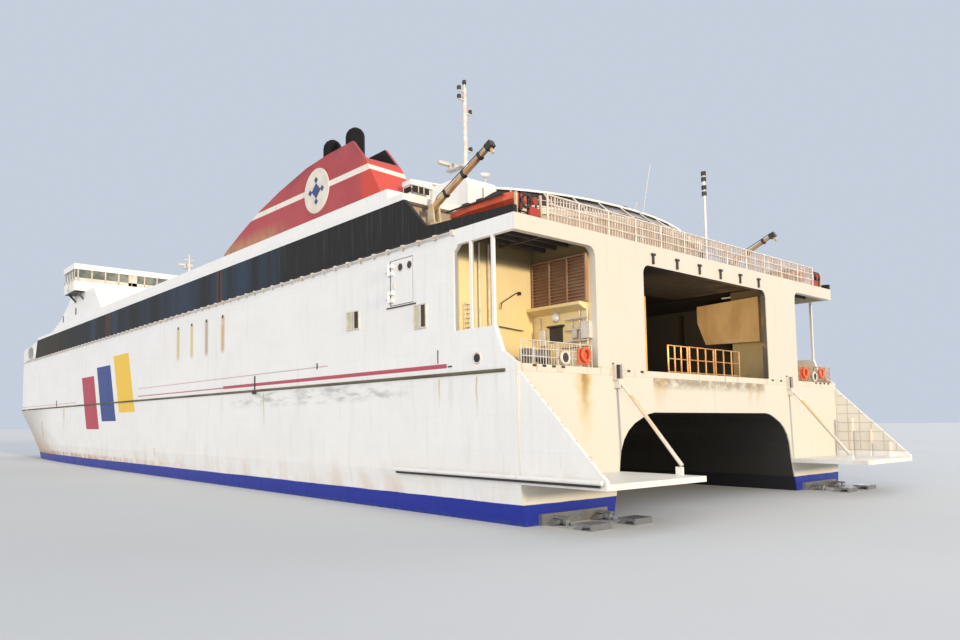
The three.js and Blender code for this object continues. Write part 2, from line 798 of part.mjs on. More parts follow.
// Aft lounge: glazing that leans in over a round plan, under a white roof with a housing at each end.
// The plan is half an ellipse about "centre", with half axes a (along) and b (across) at each level.
const LOUNGE = {
  centre: STERN + 1300,
  fwd: STERN + 1230,
  wall: { a: 890, b: 1560 },
  eave: { a: 900, b: 1575 },
  sill: { a: 850, b: 1720 },
  head: { a: 686, b: 1586 },
  rim: { a: 700, b: 1600 },
  crown: { a: 420, b: 1250 },
  headZ: 2162,
  rimZ: 2177,
  crownZ: 2200,
  glass: 14,
  cheekIn: 1215,
  cheekOut: 1500,
  cheekTop: 2215,
  houseHalf: 1525,
};

function loungePlan(level, inset) {
  const outline = [[LOUNGE.centre + 40, level.b - inset]];
  const steps = 28;
  for (let i = 0; i <= steps; i++) {
    const angle = Math.PI * (0.5 - i / steps);
    outline.push([
      LOUNGE.centre - (level.a - inset) * Math.cos(angle),
      (level.b - inset) * Math.sin(angle),
    ]);
  }
  outline.push([LOUNGE.centre + 40, -level.b + inset]);
  return outline;
}

// A solid between two round plans at two heights
function loungeLoft(low, z0, high, z1, inset) {
  const bottom = loungePlan(low, inset);
  const top = loungePlan(high, inset);
  const points = [...bottom.map(([x, y]) => [x, y, z0]), ...top.map(([x, y]) => [x, y, z1])];
  const size = bottom.length;
  const faces = [];
  for (let i = 0; i < size; i++) {
    const next = (i + 1) % size;
    faces.push(i, next, size + next, i, size + next, size + i);
  }
  const flat = bottom.map((p) => new THREE.Vector2(...p));
  for (const [a, b, c] of THREE.ShapeUtils.triangulateShape(flat, [])) {
    faces.push(a, c, b, size + a, size + b, size + c);
  }
  const geometry = new THREE.BufferGeometry();
  geometry.setAttribute("position", new THREE.Float32BufferAttribute(points.flat(), 3));
  geometry.setIndex(faces);
  const { fwd, cheekOut } = LOUNGE;
  return toSolid(geometry).intersect(box(STERN, fwd, -cheekOut, cheekOut, z0 - 10, z1 + 10));
}

// The housing at the port end of the lounge's roof, moved out by a margin
function loungeCheek(margin) {
  const { cheekIn, cheekOut, fwd } = LOUNGE;
  const x0 = STERN + 850 - margin;
  const z0 = ROOF_Z + GAP - 2 * margin;
  const top = LOUNGE.cheekTop + margin;
  return alongY(
    [
      [x0, z0],
      [fwd, z0],
      [fwd, top],
      [x0 + 70, top],
      [x0 + 25, top - 18],
      [x0, top - 70],
    ],
    cheekIn - margin,
    cheekOut + margin,
  );
}

function loungeGlazing() {
  const { sill, head, headZ, glass } = LOUNGE;
  const z0 = ROOF_Z + GAP;
  const outer = loungeLoft(sill, z0, head, headZ, 0);
  const inner = loungeLoft(sill, z0, head, headZ, glass);
  const ring = outer.subtract(inner);
  const cheeks = join(loungeCheek(GAP), mirrored(loungeCheek(GAP)));
  return ring.subtract(cheeks);
}

function loungeRoof() {
  const { rim, crown, headZ, rimZ, crownZ } = LOUNGE;
  const edge = loungeLoft(rim, headZ + GAP, rim, rimZ, 0);
  const top = loungeLoft(rim, rimZ - 1, crown, crownZ, 0);
  const cheek = loungeCheek(0);
  return join(edge, top, cheek, mirrored(cheek));
}

// Masts. A scanner stands this far ahead of its mast, so that its bar turns clear of the pole.
const SCANNER = { main: 210, mainBar: 330, fore: 155, foreBar: 240 };
const MAIN_MAST = { x: STERN + 2400, y: 0, z0: HOUSE_TOP_Z + GAP, z1: 3880 };

function mainMast() {
  const { x, y, z0, z1 } = MAIN_MAST;
  const pole = cylinder(27, [x, y, z0], [x, y, z1 - 80], 14, 19);
  const tip = cylinder(8, [x, y, z1 - 90], [x, y, z1], 8);
  const arms = [
    // height, side
    [3767, 1],
    [3681, 1],
    [3556, -1],
    [3182, -1],
  ].map(([z, side]) => box(x - 8, x + 8, Math.min(0, 84 * side), Math.max(0, 84 * side), z - 6, z + 6));
  const shelf = box(x + 10, x + SCANNER.main + 40, y - 40, y + 40, 3030, 3046);
  const legs = [-1, 1].map((side) => cylinder(16, [x + 260, side * 150, z0 + 12], [x, y, 2950], 10));
  return join(pole, tip, ...arms, shelf, ...legs);
}

function scanner(x, y, z, span) {
  const post = cylinder(22, [x, y, z + GAP], [x, y, z + 42], 16);
  const bar = box(x - 18, x + 18, y - span / 2, y + span / 2, z + 36, z + 66);
  return join(post, bar);
}

const STERN_MAST = { x: STERN + 60, y: -80, z1: 2336 };

function sternMast() {
  const { x, y, z1 } = STERN_MAST;
  const pole = cylinder(9, [x, y, UPPER_DECK_Z + GAP], [x, y, z1], 10);
  const foot = cylinder(26, [x, y, UPPER_DECK_Z + GAP], [x, y, UPPER_DECK_Z + 14], 12);
  const lamps = [2170, 2215, 2275, 2318].map((z) => cylinder(17, [x, y, z - 14], [x, y, z + 14], 12));
  return join(pole, foot, ...lamps);
}

const FORE_MAST = { x: STERN + 8550, y: 200, z0: BRIDGE.top + GAP, z1: 3290 };

function foreMast() {
  const { x, y, z0, z1 } = FORE_MAST;
  const pole = cylinder(20, [x, y, z0], [x, y, z1], 12, 12);
  const yard = box(x - 8, x + 8, y - 80, y + 80, 3190, 3204);
  const shelf = box(x + 6, x + SCANNER.fore + 30, y - 30, y + 30, 3080, 3094);
  return join(pole, yard, shelf);
}

// Cranes that serve the rescue boats
const CRANE = { x: STERN + 865, y: 1790, z0: UPPER_DECK_Z, ring: 1790, eye: 1935, length: 560, lift: 27 };

function cranePedestal() {
  const { x, y, z0, ring } = CRANE;
  return join(
    cylinder(58, [x, y, z0 - 5], [x, y, z0 + 20], 20),
    cylinder(42, [x, y, z0 + 10], [x, y, ring], 20),
  );
}

function craneColumn() {
  const { x, y, ring, eye } = CRANE;
  const turret = cylinder(44, [x, y, ring + GAP], [x, y, ring + 40], 20);
  const cheeks = [-1, 1].map((side) => {
    const yc = y + side * 27;
    return alongY(
      [
        [x + 34, ring + 30],
        [x - 34, ring + 30],
        [x - 16, eye + 16],
        [x + 16, eye + 16],
      ],
      yc - 7,
      yc + 7,
    );
  });
  const pin = cylinder(8, [x, y - 34, eye], [x, y + 34, eye], 12);
  return join(turret, ...cheeks, pin);
}

function craneBoom() {
  const { x, y, eye, length, lift } = CRANE;
  const boom = alongY(
    [
      [-24, -14],
      [-length, -9],
      [-length, 10],
      [-24, 22],
      [20, 14],
      [20, -14],
    ],
    -15,
    15,
  );
  const head = join(cylinder(20, [-length, -18, 0], [-length, 18, 0], 14), box(-length - 8, -length + 8, -5, 5, -60, 0));
  const bore = cylinder(8 + GAP, [0, -30, 0], [0, 30, 0], 12);
  return join(boom, head).subtract(bore).rotate([0, lift, 0]).translate([x, y, eye]);
}

// A rescue boat in its cradle
const BOAT = { x0: STERN + 130, x1: STERN + 700, y: 1800, keel: 1735, sheer: 1840, half: 92 };

function rescueBoat() {
  const { x0, x1, y, keel, sheer, half } = BOAT;
  const sections = [
    // along the length, breadth, rise of the keel
    [0, 0.7, 0.15],
    [0.1, 0.92, 0],
    [0.55, 1, 0],
    [0.74, 0.85, 0],
    [0.9, 0.5, 0.3],
    [1, 0.06, 0.8],
  ];
  const height = sheer - keel;
  return loft(
    sections.map(([along, wide, rise]) => {
      const x = x0 + (x1 - x0) * along;
      const z = keel + rise * height;
      const w = half * wide;
      return [
        [x, y - w * 0.3, z],
        [x, y + w * 0.3, z],
        [x, y + w, z + (sheer - z) * 0.55],
        [x, y + w * 0.9, sheer],
        [x, y - w * 0.9, sheer],
        [x, y - w, z + (sheer - z) * 0.55],
      ];
    }),
  );
}

function boatCradle() {
  const { x0, y, keel } = BOAT;
  const beam = box(x0 + 40, x0 + 440, y - 12, y + 12, UPPER_DECK_Z - 5, UPPER_DECK_Z + 24);
  const chocks = [80, 380].map((x) => box(x0 + x, x0 + x + 24, y - 60, y + 60, UPPER_DECK_Z - 5, keel - GAP));
  return join(beam, ...chocks);
}

// Assembly

addPair("hull", demiHull(), "white");
add("cross_structure", crossStructure(), "white");
add("vehicle_deck", vehicleDeck(), "deck");
addPair("side_shell", sideShell(), "white");
addPair("side_door", sideDoor(), "white");
add("bow_shell", bowShell(), "white");
add("upper_deck", upperDeck(), "deck");
add("stern_frame", sternFrame(), "cream");
add("stern_door", sternDoor(), "tan");
addPair("bay_walls", bayWalls(), "yellow");
addPair("louvres", louvrePanel(), "tan");
addPair("mooring_winch", mooringWinch(), "steel");
addPair("wing_platform", wingPlatform(), "white");
addPair("wing_stay", wingStay(), "cream");
addPair("jet_ducts", jetDucts(), "steel");
for (const { name, y } of JETS) {
  addPair(name + "_nozzle", jetNozzle(y), "steel");
  addPair(name + "_bucket", jetBucket(y), "steel");
}
addPair("saloon_wall", saloonWall(), "band");
add("bow_bulwark", bowBulwark(), "white");
add("saloon_aft_wall", saloonAftWall(), "white");
add("saloon_roof", saloonRoof(), "white");
add("lounge_eave", loungeEave(), "white");
add("upper_house", upperHouse(), "white");
add("fore_house", foreHouse(), "white");
add("bridge_body", bridgeBody(), "white");
add("bridge_windows", bridgeWindows(), "glass");
add("bridge_roof", bridgeRoof(), "white");
addPair("funnel", funnelCasing(), "red");
addPair("exhausts", exhaustPair(), "black");
add("lounge_glazing", loungeGlazing(), "glass");
add("lounge_roof", loungeRoof(), "white");
add("main_mast", mainMast(), "white");
add("main_scanner", scanner(MAIN_MAST.x + SCANNER.main, 0, 3046, SCANNER.mainBar), "white");
add("stern_mast", sternMast(), "white");
add("fore_mast", foreMast(), "white");
add("fore_scanner", scanner(FORE_MAST.x + SCANNER.fore, FORE_MAST.y, 3094, SCANNER.foreBar), "white");
addPair("crane_column", craneColumn(), "tan");
addPair("crane_boom", craneBoom(), "tan");
addPair("rescue_boat", rescueBoat(), "orange");

export default group;
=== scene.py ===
"""Dresses the 1:10 ferry model with paint, fittings, lights and camera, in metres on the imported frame."""

import math

import bmesh
import bpy
from bpy.props import FloatProperty, FloatVectorProperty, PointerProperty
from mathutils import Matrix, Vector


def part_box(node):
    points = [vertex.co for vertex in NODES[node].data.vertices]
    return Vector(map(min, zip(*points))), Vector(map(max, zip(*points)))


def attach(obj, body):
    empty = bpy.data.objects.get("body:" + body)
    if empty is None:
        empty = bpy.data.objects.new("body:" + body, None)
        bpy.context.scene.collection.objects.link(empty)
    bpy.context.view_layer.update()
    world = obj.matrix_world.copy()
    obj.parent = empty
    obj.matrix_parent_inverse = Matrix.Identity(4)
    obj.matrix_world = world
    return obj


bl_info = {
    "name": "Ferry model dressing",
    "version": (1, 0, 0),
    "blender": (4, 5, 0),
    "location": "3D Viewport > Sidebar > Ferry",
    "description": "Paint, fittings, stage and camera of the 1:10 ferry model",
    "category": "Object",
}

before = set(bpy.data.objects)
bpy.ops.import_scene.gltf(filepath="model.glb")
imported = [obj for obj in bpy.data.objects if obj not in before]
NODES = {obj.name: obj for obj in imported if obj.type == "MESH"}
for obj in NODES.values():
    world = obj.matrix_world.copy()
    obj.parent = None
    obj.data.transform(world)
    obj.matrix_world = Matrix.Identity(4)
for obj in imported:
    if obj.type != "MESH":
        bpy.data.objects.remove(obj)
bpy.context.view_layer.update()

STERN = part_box("stern_frame")[0].x
HALF_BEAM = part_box("port_side_shell")[1].y - 0.021
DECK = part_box("vehicle_deck")[1].z
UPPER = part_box("stern_frame")[1].z
# heights
ROOF = 2.135
GUTTER = 1.654
FENDER_LIP = 0.826
FAIRLEAD = 0.905
BRIDGE_SILL = 2.6405
BRIDGE_WINDOW = (2.641, 2.81)
# distances from the ship's middle
BAY_WALL = 1.30
STAY = 1.125
FUNNEL_FACE = 1.885
HOUSE_SIDE = 1.85
# half length, half breadth and height of the round glass at its foot and its head
LOUNGE_FOOT = (0.850, 1.720, 2.0105)
LOUNGE_HEAD = (0.686, 1.586, 2.160)
# places along the ship, in metres of the real ship ahead of the stern's edge
SLOTS = (45.5, 42.1, 38.7, 35.2)
BOW = 112
BOW_REACH = 0.9
RAIL_INSET = 0.018
SOFT = 0.002
SHIP = "ship"
UP = (0, 0, 1)
AHEAD = (1, 0, 0)
ASTERN = (-1, 0, 0)


def at(s):
    """X of a place that lies s metres of the real ship ahead of the stern's edge."""
    return STERN + s / 10


# Settings


def colour(name, text, value):
    limits = {"subtype": "COLOR", "size": 3, "min": 0, "max": 1}
    return FloatVectorProperty(name=name, description=text, default=value, **limits)


def length(name, text, value):
    return FloatProperty(name=name, description=text, unit="LENGTH", min=0.0005, max=5, default=value)


class FerryPaint(bpy.types.PropertyGroup):
    white: colour("White", "Paint of the sides and houses", (0.80, 0.775, 0.735))
    # Stern: the white as the low warm sun shows it on the aft faces, which is painted light
    cream: colour("Stern", "Paint of the stern", (0.63, 0.585, 0.495))
    yellow: colour("Bay", "Paint inside the mooring bays", (0.80, 0.60, 0.25))
    boot: colour("Boot-top", "Paint at the waterline", (0.004, 0.018, 0.27))
    band: colour("Band", "Dark glazed band of the saloon", (0.027, 0.026, 0.025))
    red: colour("Funnel", "Paint of the funnels", (0.38, 0.045, 0.045))
    rust: colour("Rust", "Streaks and stains", (0.30, 0.13, 0.045))
    wear: FloatProperty(name="Wear", description="Amount of dirt and rust", min=0, max=2, default=1)


class FerryRails(bpy.types.PropertyGroup):
    height: length("Height", "Height of the guard rails", 0.13)
    tube: length("Tube", "Radius of a rail's tube", 0.0032)
    bar: length("Bar", "Radius of an upright bar", 0.0016)
    post_gap: length("Post spacing", "Distance between posts", 0.15)
    bar_gap: length("Bar spacing", "Distance between upright bars", 0.022)


class FerryLight(bpy.types.PropertyGroup):
    sun: FloatProperty(name="Key", description="Strength of the warm key light", min=0, max=20, default=2.9)
    sky: FloatProperty(name="Fill", description="Strength of the soft fill", min=0, max=5, default=0.8)
    floor: colour("Floor", "Colour of the floor", (0.62, 0.62, 0.61))


# Materials


class Paint:
    """A material being built. Each method adds nodes and returns the socket that carries the result."""

    def __init__(self, name, base, roughness=0.5, **inputs):
        self.material = bpy.data.materials.new(name)
        self.material.use_nodes = True
        self.tree = self.material.node_tree
        self.tree.nodes.clear()
        self.shader = self.tree.nodes.new("ShaderNodeBsdfPrincipled")
        self.shader.inputs["Base Color"].default_value = (*base, 1)
        self.shader.inputs["Roughness"].default_value = roughness
        for key, value in inputs.items():
            self.shader.inputs[key].default_value = value
        output = self.tree.nodes.new("ShaderNodeOutputMaterial")
        self.tree.links.new(self.shader.outputs[0], output.inputs[0])
        self.place = self.add("ShaderNodeTexCoord").outputs["Object"]
        self.x, self.y, self.z = self.add("ShaderNodeSeparateXYZ", self.place).outputs
        self.colour = tuple(base)

    @property
    def wide(self):
        """Distance from the middle of the ship."""
        return self.sum("ABSOLUTE", self.y)

    def add(self, kind, *values, **options):
        node = self.tree.nodes.new(kind)
        for key, value in options.items():
            setattr(node, key, value)
        for socket, value in zip(node.inputs, values):
            self.feed(socket, value)
        return node

    def feed(self, socket, value):
        if isinstance(value, bpy.types.NodeSocket):
            self.tree.links.new(value, socket)
        elif value is not None:
            if socket.type == "RGBA" and len(value) == 3:
                value = (*value, 1)
            socket.default_value = value

    def sum(self, operation, a, b=0.0):
        return self.add("ShaderNodeMath", a, b, operation=operation).outputs[0]

    def off(self, value, centre):
        """Distance of a value from a centre."""
        return self.sum("ABSOLUTE", self.sum("SUBTRACT", value, centre))

    def step(self, value, low, high):
        """0 below low and 1 above high, or the other way round where low is the larger."""
        node = self.add("ShaderNodeMapRange", value, low, high, 0.0, 1.0, interpolation_type="SMOOTHSTEP")
        return node.outputs[0]

    def between(self, value, low, high, soft=SOFT):
        rising = self.step(value, low - soft, low + soft)
        falling = self.step(value, high + soft, high - soft)
        return self.sum("MULTIPLY", rising, falling)

    def all(self, *masks):
        result = masks[0]
        for mask in masks[1:]:
            result = self.sum("MULTIPLY", result, mask)
        return result

    def noise(self, scale, low=0.35, high=0.65, stretch=(1, 1, 1), detail=4):
        """Cloudy patches: 0 where the noise is below low, 1 where it is above high."""
        mapping = self.add("ShaderNodeMapping", self.place)
        mapping.inputs["Scale"].default_value = stretch
        node = self.add("ShaderNodeTexNoise", mapping.outputs[0])
        node.inputs["Scale"].default_value = scale
        node.inputs["Detail"].default_value = detail
        node.inputs["Roughness"].default_value = 0.55
        return self.step(node.outputs[0], low, high)

    def lines(self, value, pitch, width):
        """Thin lines at an even pitch."""
        part = self.sum("FRACT", self.sum("DIVIDE", value, pitch))
        return self.step(self.off(part, 0.5), 0.5 - width / pitch, 0.5)

    def cover(self, mask, tint, amount=1.0):
        """Lays a tint over the colour where the mask is."""
        factor = mask if amount == 1.0 else self.sum("MULTIPLY", mask, amount)
        node = self.add("ShaderNodeMix", data_type="RGBA")
        self.feed(node.inputs["Factor"], factor)
        self.feed(node.inputs[6], self.colour)
        self.feed(node.inputs[7], tint)
        self.colour = node.outputs[2]

    def patch(self, tint, amount, *masks, **spans):
        """Lays a tint where all spans and masks hold, and returns where that is.

        A span is along x, y, z or wide. Two values are where it starts and where it is full;
        three are the two ends of a band and their softness. A span s is along x, from at().
        """
        parts = []
        for axis, span in spans.items():
            if axis == "s":
                axis, span = "x", (at(span[0]), at(span[1]), *span[2:])
            shape = self.step if len(span) == 2 else self.between
            parts.append(shape(getattr(self, axis), *span))
        mask = self.all(*parts, *masks)
        self.cover(mask, tint, amount)
        return mask

    def streak(self, along, centre, width, top, bottom, tint, amount):
        """A rust run that starts at top, and fades and wanders on its way down."""
        wander = self.sum("MULTIPLY", self.sum("SUBTRACT", self.noise(9), 0.5), width * 0.5)
        across = self.step(self.off(self.sum("ADD", along, wander), centre), width, 0.0)
        down = self.all(self.step(self.z, top + 0.004, top), self.step(self.z, bottom, top))
        self.cover(self.all(across, down), tint, amount)

    def bump(self, height, strength, distance):
        node = self.add("ShaderNodeBump")
        node.inputs["Strength"].default_value = strength
        node.inputs["Distance"].default_value = distance
        self.feed(node.inputs["Height"], height)
        self.feed(self.shader.inputs["Normal"], node.outputs[0])

    def gloss(self, mask, low, high):
        """Roughness from low to high as the mask goes from 0 to 1."""
        node = self.add("ShaderNodeMapRange", mask, 0.0, 1.0, low, high)
        self.feed(self.shader.inputs["Roughness"], node.outputs[0])

    def done(self):
        self.feed(self.shader.inputs["Base Color"], self.colour)
        return self.material


def weathered(paint, settings, seams=0.24, share=1.0):
    """Plating, dirt runs and faint stains that every painted side has."""
    wear = settings.wear * share
    paint.cover(paint.noise(2.2, stretch=(1, 1, 1.6)), (0.64, 0.62, 0.585), 0.16 * wear)
    runs = paint.noise(7, 0.52, 0.8, (3.2, 3.2, 0.28), 6)
    paint.cover(runs, (0.48, 0.42, 0.33), 0.22 * wear)
    paint.cover(paint.noise(26, 0.6, 0.78, (2.2, 2.2, 0.16), 3), settings.rust, 0.09 * wear)
    welds = paint.sum("MAXIMUM", paint.lines(paint.x, seams, 0.0016), paint.lines(paint.z, 0.195, 0.0014))
    paint.cover(welds, (0.45, 0.42, 0.38), 0.22 * wear)
    dents = paint.noise(10, 0.2, 0.8, (1.6, 1.6, 0.8), 2)
    frames = paint.sum("SINE", paint.sum("MULTIPLY", paint.x, 2 * math.pi / 0.06))
    height = paint.sum("ADD", paint.sum("MULTIPLY", dents, 0.8), paint.sum("MULTIPLY", frames, 0.10))
    height = paint.sum("SUBTRACT", height, paint.sum("MULTIPLY", welds, 0.25))
    paint.bump(height, 0.22, 0.004)
    paint.gloss(runs, 0.42, 0.68)


def emblem(paint):
    """Three leaning flags side by side on each side of the ship."""
    lean = paint.sum("SUBTRACT", paint.x, paint.sum("MULTIPLY", paint.z, 0.35))
    for aft, fore, foot, top, tint in (
        (58.5, 64.0, 0.70, 1.40, (0.80, 0.50, 0.035)),
        (65.5, 71.0, 0.60, 1.30, (0.022, 0.045, 0.20)),
        (72.5, 78.0, 0.50, 1.20, (0.42, 0.035, 0.06)),
    ):
        inside = paint.between(lean, at(aft) - 0.3, at(fore) - 0.3, 0.001)
        paint.cover(paint.all(inside, paint.between(paint.z, foot, top, 0.001)), tint)


def side_paint(name, settings, boot=False):
    """White plating, with the hull's boot-top, stains and the tunnel's painted shade where boot is set."""
    paint = Paint(name, settings.white)
    wear = settings.wear
    weathered(paint, settings)
    paint.patch((0.55, 0.34, 0.16), 0.35 * wear, paint.noise(6, 0.4, 0.75, (1, 1, 0.5)), z=(0.42, 0.12))
    emblem(paint)
    # painted shade on the bow below the fender lip, where the hull is undercut
    paint.patch((0.38, 0.33, 0.26), 0.7 * wear, s=(92, 112), z=(0.84, 0.80))
    # the side's aft faces in the white's sunlit tone: painted light
    paint.patch(settings.cream, 0.92, x=(STERN - 0.002, STERN + 0.003, 0.001))
    # the wing plate's inner face, which the low sun lights, in the white's sunlit tone: painted light; a
    # grid of darker lines over it
    wing = paint.patch(
        settings.cream, 0.8, x=(STERN - 0.006, STERN - 0.012), wide=(1.986, 1.983), z=(0.29, 0.30)
    )
    plank = paint.sum("MAXIMUM", paint.lines(paint.x, 0.085, 0.007), paint.lines(paint.z, 0.075, 0.007))
    paint.cover(paint.all(wing, plank), (0.36, 0.28, 0.19), 0.6 * wear)
    # painted shade: the faces that look into the vehicle hall, near black as unlit faces
    hall = {"wide": (1.9885, 1.9875), "s": (5.2, 104, 0.02), "z": (0.866, 1.66, SOFT)}
    paint.patch((0.045, 0.040, 0.034), 0.95, **hall)
    ragged = paint.noise(30, 0.1, 0.22)
    for foot, top, aft, fore, tint, amount in (
        # lines painted above the knuckle
        (0.864, 0.890, 5.4, 35, (0.42, 0.035, 0.07), 0.95),
        (0.868, 0.880, 35, 57, (0.36, 0.06, 0.08), 0.8),
        (0.868, 0.878, 82, 122, (0.45, 0.12, 0.10), 0.6),
        (0.957, 0.964, 18, 57, (0.36, 0.14, 0.14), 0.7),
    ):
        paint.patch(tint, amount, ragged, z=(foot, top, SOFT), s=(aft, fore, SOFT))
    for s, width, top, foot in (
        # rust runs
        (27.5, 0.02, 0.80, 0.45),
        (6.1, 0.012, 0.80, 0.58),
        (3.0, 0.012, 0.80, 0.52),
        (88.0, 0.05, 0.80, 0.30),
        (101.0, 0.08, 0.62, 0.12),
        (52.0, 0.03, 0.30, 0.12),
    ):
        paint.streak(paint.x, at(s), width, top, foot, (0.50, 0.33, 0.10), 0.75 * wear)
    tints = ((0.55, 0.45, 0.16), (0.60, 0.48, 0.18), (0.40, 0.30, 0.20), (0.55, 0.32, 0.10))
    for s, tint in zip(SLOTS, tints):
        core = paint.step(paint.off(paint.x, at(s)), 0.055, 0.012)
        ends = paint.all(paint.step(paint.z, 1.17, 1.24), paint.step(paint.z, 1.54, 1.52))
        paint.cover(paint.all(core, ends, paint.noise(14, 0.15, 0.5, (2, 2, 0.6))), tint, 0.85 * wear)
    if boot:
        boot_top(paint, settings)
    return paint.done()


def boot_top(paint, settings):
    wear = settings.wear
    for half, foot, tint in ((0.10, 0.30, (0.62, 0.46, 0.17)), (0.05, 0.52, (0.33, 0.16, 0.04))):
        paint.streak(paint.y, 1.43, half, 0.862, foot, tint, 0.9 * wear)
    edge = paint.sum("ADD", paint.z, paint.sum("MULTIPLY", paint.noise(4, 0.2, 0.8), 0.004))
    stain = paint.all(paint.between(edge, 0.10, 0.165, 0.02), paint.noise(11, 0.35, 0.6, (1, 1, 0.6)))
    paint.patch((0.50, 0.24, 0.07), 0.85 * wear, stain, s=(30, 90))
    bow = paint.noise(7, 0.25, 0.6, (1.5, 1.5, 0.5))
    paint.patch((0.50, 0.29, 0.11), 0.8 * wear, bow, z=(0.52, 0.13), s=(90, 112))
    paint.cover(paint.step(edge, 0.116, 0.112), settings.boot)
    paint.patch((0.05, 0.07, 0.10), 0.7 * wear, paint.noise(20, 0.3, 0.7), z=(0.035, 0.0))
    scuffs = paint.noise(9, 0.42, 0.68, (0.6, 1, 2.2))
    paint.patch((0.33, 0.34, 0.30), 0.7 * wear, scuffs, z=(0.70, 0.812, 0.03), s=(10, 32, 0.3))
    tunnel_shade(paint)


def tunnel_shade(paint):
    """Painted shade between the hulls, near black, from just inside the stern."""
    tint = (0.010, 0.009, 0.007)
    paint.patch(tint, 0.97, wide=(1.30, 1.26), x=(STERN + 0.003, STERN + 0.012), z=(0.70, 0.66))


def stern_paint(settings):
    # the stern's base colour is the white in its sunlit tone: painted light
    paint = Paint("stern_cream", settings.cream)
    wear = settings.wear
    weathered(paint, settings, seams=10)
    paint.cover(paint.lines(paint.y, 0.27, 0.0015), (0.46, 0.40, 0.30), 0.22 * wear)
    for y, width, top, foot in (
        (1.38, 0.10, 0.87, 0.30),
        (1.30, 0.05, 0.87, 0.55),
        (-1.38, 0.10, 0.87, 0.30),
        (1.12, 0.05, 0.70, 0.28),
        (-1.12, 0.05, 0.70, 0.28),
        (1.66, 0.015, 0.80, 0.55),
        (0.66, 0.12, 0.86, 0.58),
        (-0.50, 0.06, 0.86, 0.60),
        (-0.62, 0.04, 0.86, 0.60),
    ):
        paint.streak(paint.y, y, width, top, foot, (0.55, 0.37, 0.13), 0.75 * wear)
    # darker brown below the hall's threshold: stains, and painted shade where the ramp, which is left out,
    # would shade it
    stains_and_ramp_shade = paint.noise(13, 0.3, 0.6, (1, 1, 1.4))
    paint.patch((0.24, 0.17, 0.10), 0.75 * wear, stains_and_ramp_shade, z=(0.765, 0.87, 0.03), wide=(0.80, 0.72))
    # painted shade on the reveals and jambs of the vehicle hall's opening, with rust specks over it
    reveal = {"wide": (0.87, 0.86), "x": (STERN + 0.003, STERN + 0.006), "z": (0.862, 0.866)}
    jamb_shade = paint.patch((0.045, 0.036, 0.030), 0.95, **reveal)
    paint.cover(paint.all(jamb_shade, paint.noise(22, 0.60, 0.68, (1, 1, 0.5))), (0.36, 0.16, 0.09), 0.8)
    tunnel_shade(paint)
    return paint.done()


def edged_paint(name, inner, outer, settings, deckhead=False):
    """Deck coating inside, the outer paint on the faces that show outside, and the white's sunlit tone on
    the aft edge, which is painted light. Where deckhead is set, painted shade under the deck.
    """
    paint = Paint(name, inner, 0.75)
    paint.cover(paint.noise(5), (0.21, 0.17, 0.13), 0.5)
    if deckhead:
        # painted shade under the deck, darkest over the vehicle hall
        shaded_underside = paint.patch((0.060, 0.048, 0.037), 1.0, z=(1.662, 1.655))
        paint.patch((0.020, 0.016, 0.012), 1.0, shaded_underside, wide=(1.29, 1.27))
    runs = paint.noise(14, 0.5, 0.75, (3, 3, 0.4))
    edge = paint.step(paint.x, STERN + 0.003, STERN + 0.001)
    paint.cover(paint.sum("MAXIMUM", edge, paint.step(paint.wide, 1.9685, 1.9695)), outer)
    # the aft edge in the white's sunlit tone: painted light
    paint.cover(edge, settings.cream)
    paint.cover(paint.all(edge, runs), (0.40, 0.28, 0.14), 0.6)
    return paint.done()


def house_paint(name, settings, foot=None):
    paint = Paint(name, settings.white)
    weathered(paint, settings, seams=0.5, share=0.8)
    # where foot is given: painted shade on the lower part, below the roof's edge
    if foot:
        paint.patch(foot, 0.85, z=(2.006, 2.003))
    return paint.done()


def band_paint(settings):
    paint = Paint("saloon_band_glass", settings.band, 0.5, **{"Specular IOR Level": 0.06})
    ahead = paint.step(paint.x, at(82), at(74))
    blue = paint.noise(2.0, 0.40, 0.62, (1, 1, 0.10), 2)
    paint.patch((0.038, 0.058, 0.090), 0.75, blue, ahead, s=(20, 28))
    panel = paint.sum("FLOOR", paint.sum("DIVIDE", paint.x, 0.25))
    each = paint.add("ShaderNodeTexWhiteNoise", panel, noise_dimensions="1D").outputs["Value"]
    paint.cover(paint.step(each, 0.4, 1.0), (0.050, 0.048, 0.046), 0.35)
    seams = paint.lines(paint.x, 0.25, 0.003)
    paint.cover(seams, (0.012, 0.014, 0.018), 0.9)
    runs = paint.noise(12, 0.5, 0.8, (3, 3, 0.2))
    paint.cover(runs, (0.10, 0.10, 0.10), 0.4 * settings.wear)
    for s, half in ((36.0, 0.10), (68.4, 0.13)):
        off = paint.off(paint.x, at(s))
        stain = paint.all(paint.step(off, half, 0.0), paint.noise(16, 0.15, 0.6, (2, 2, 0.3)))
        paint.cover(stain, (0.12, 0.060, 0.030), 0.9)
        paint.cover(paint.step(off, 0.018, 0.008), (0.016, 0.012, 0.010), 0.8)
    paint.patch((0.045, 0.034, 0.022), 0.9, s=(84, 95))
    paint.gloss(runs, 0.45, 0.7)
    paint.bump(seams, 0.3, 0.002)
    return paint.done()


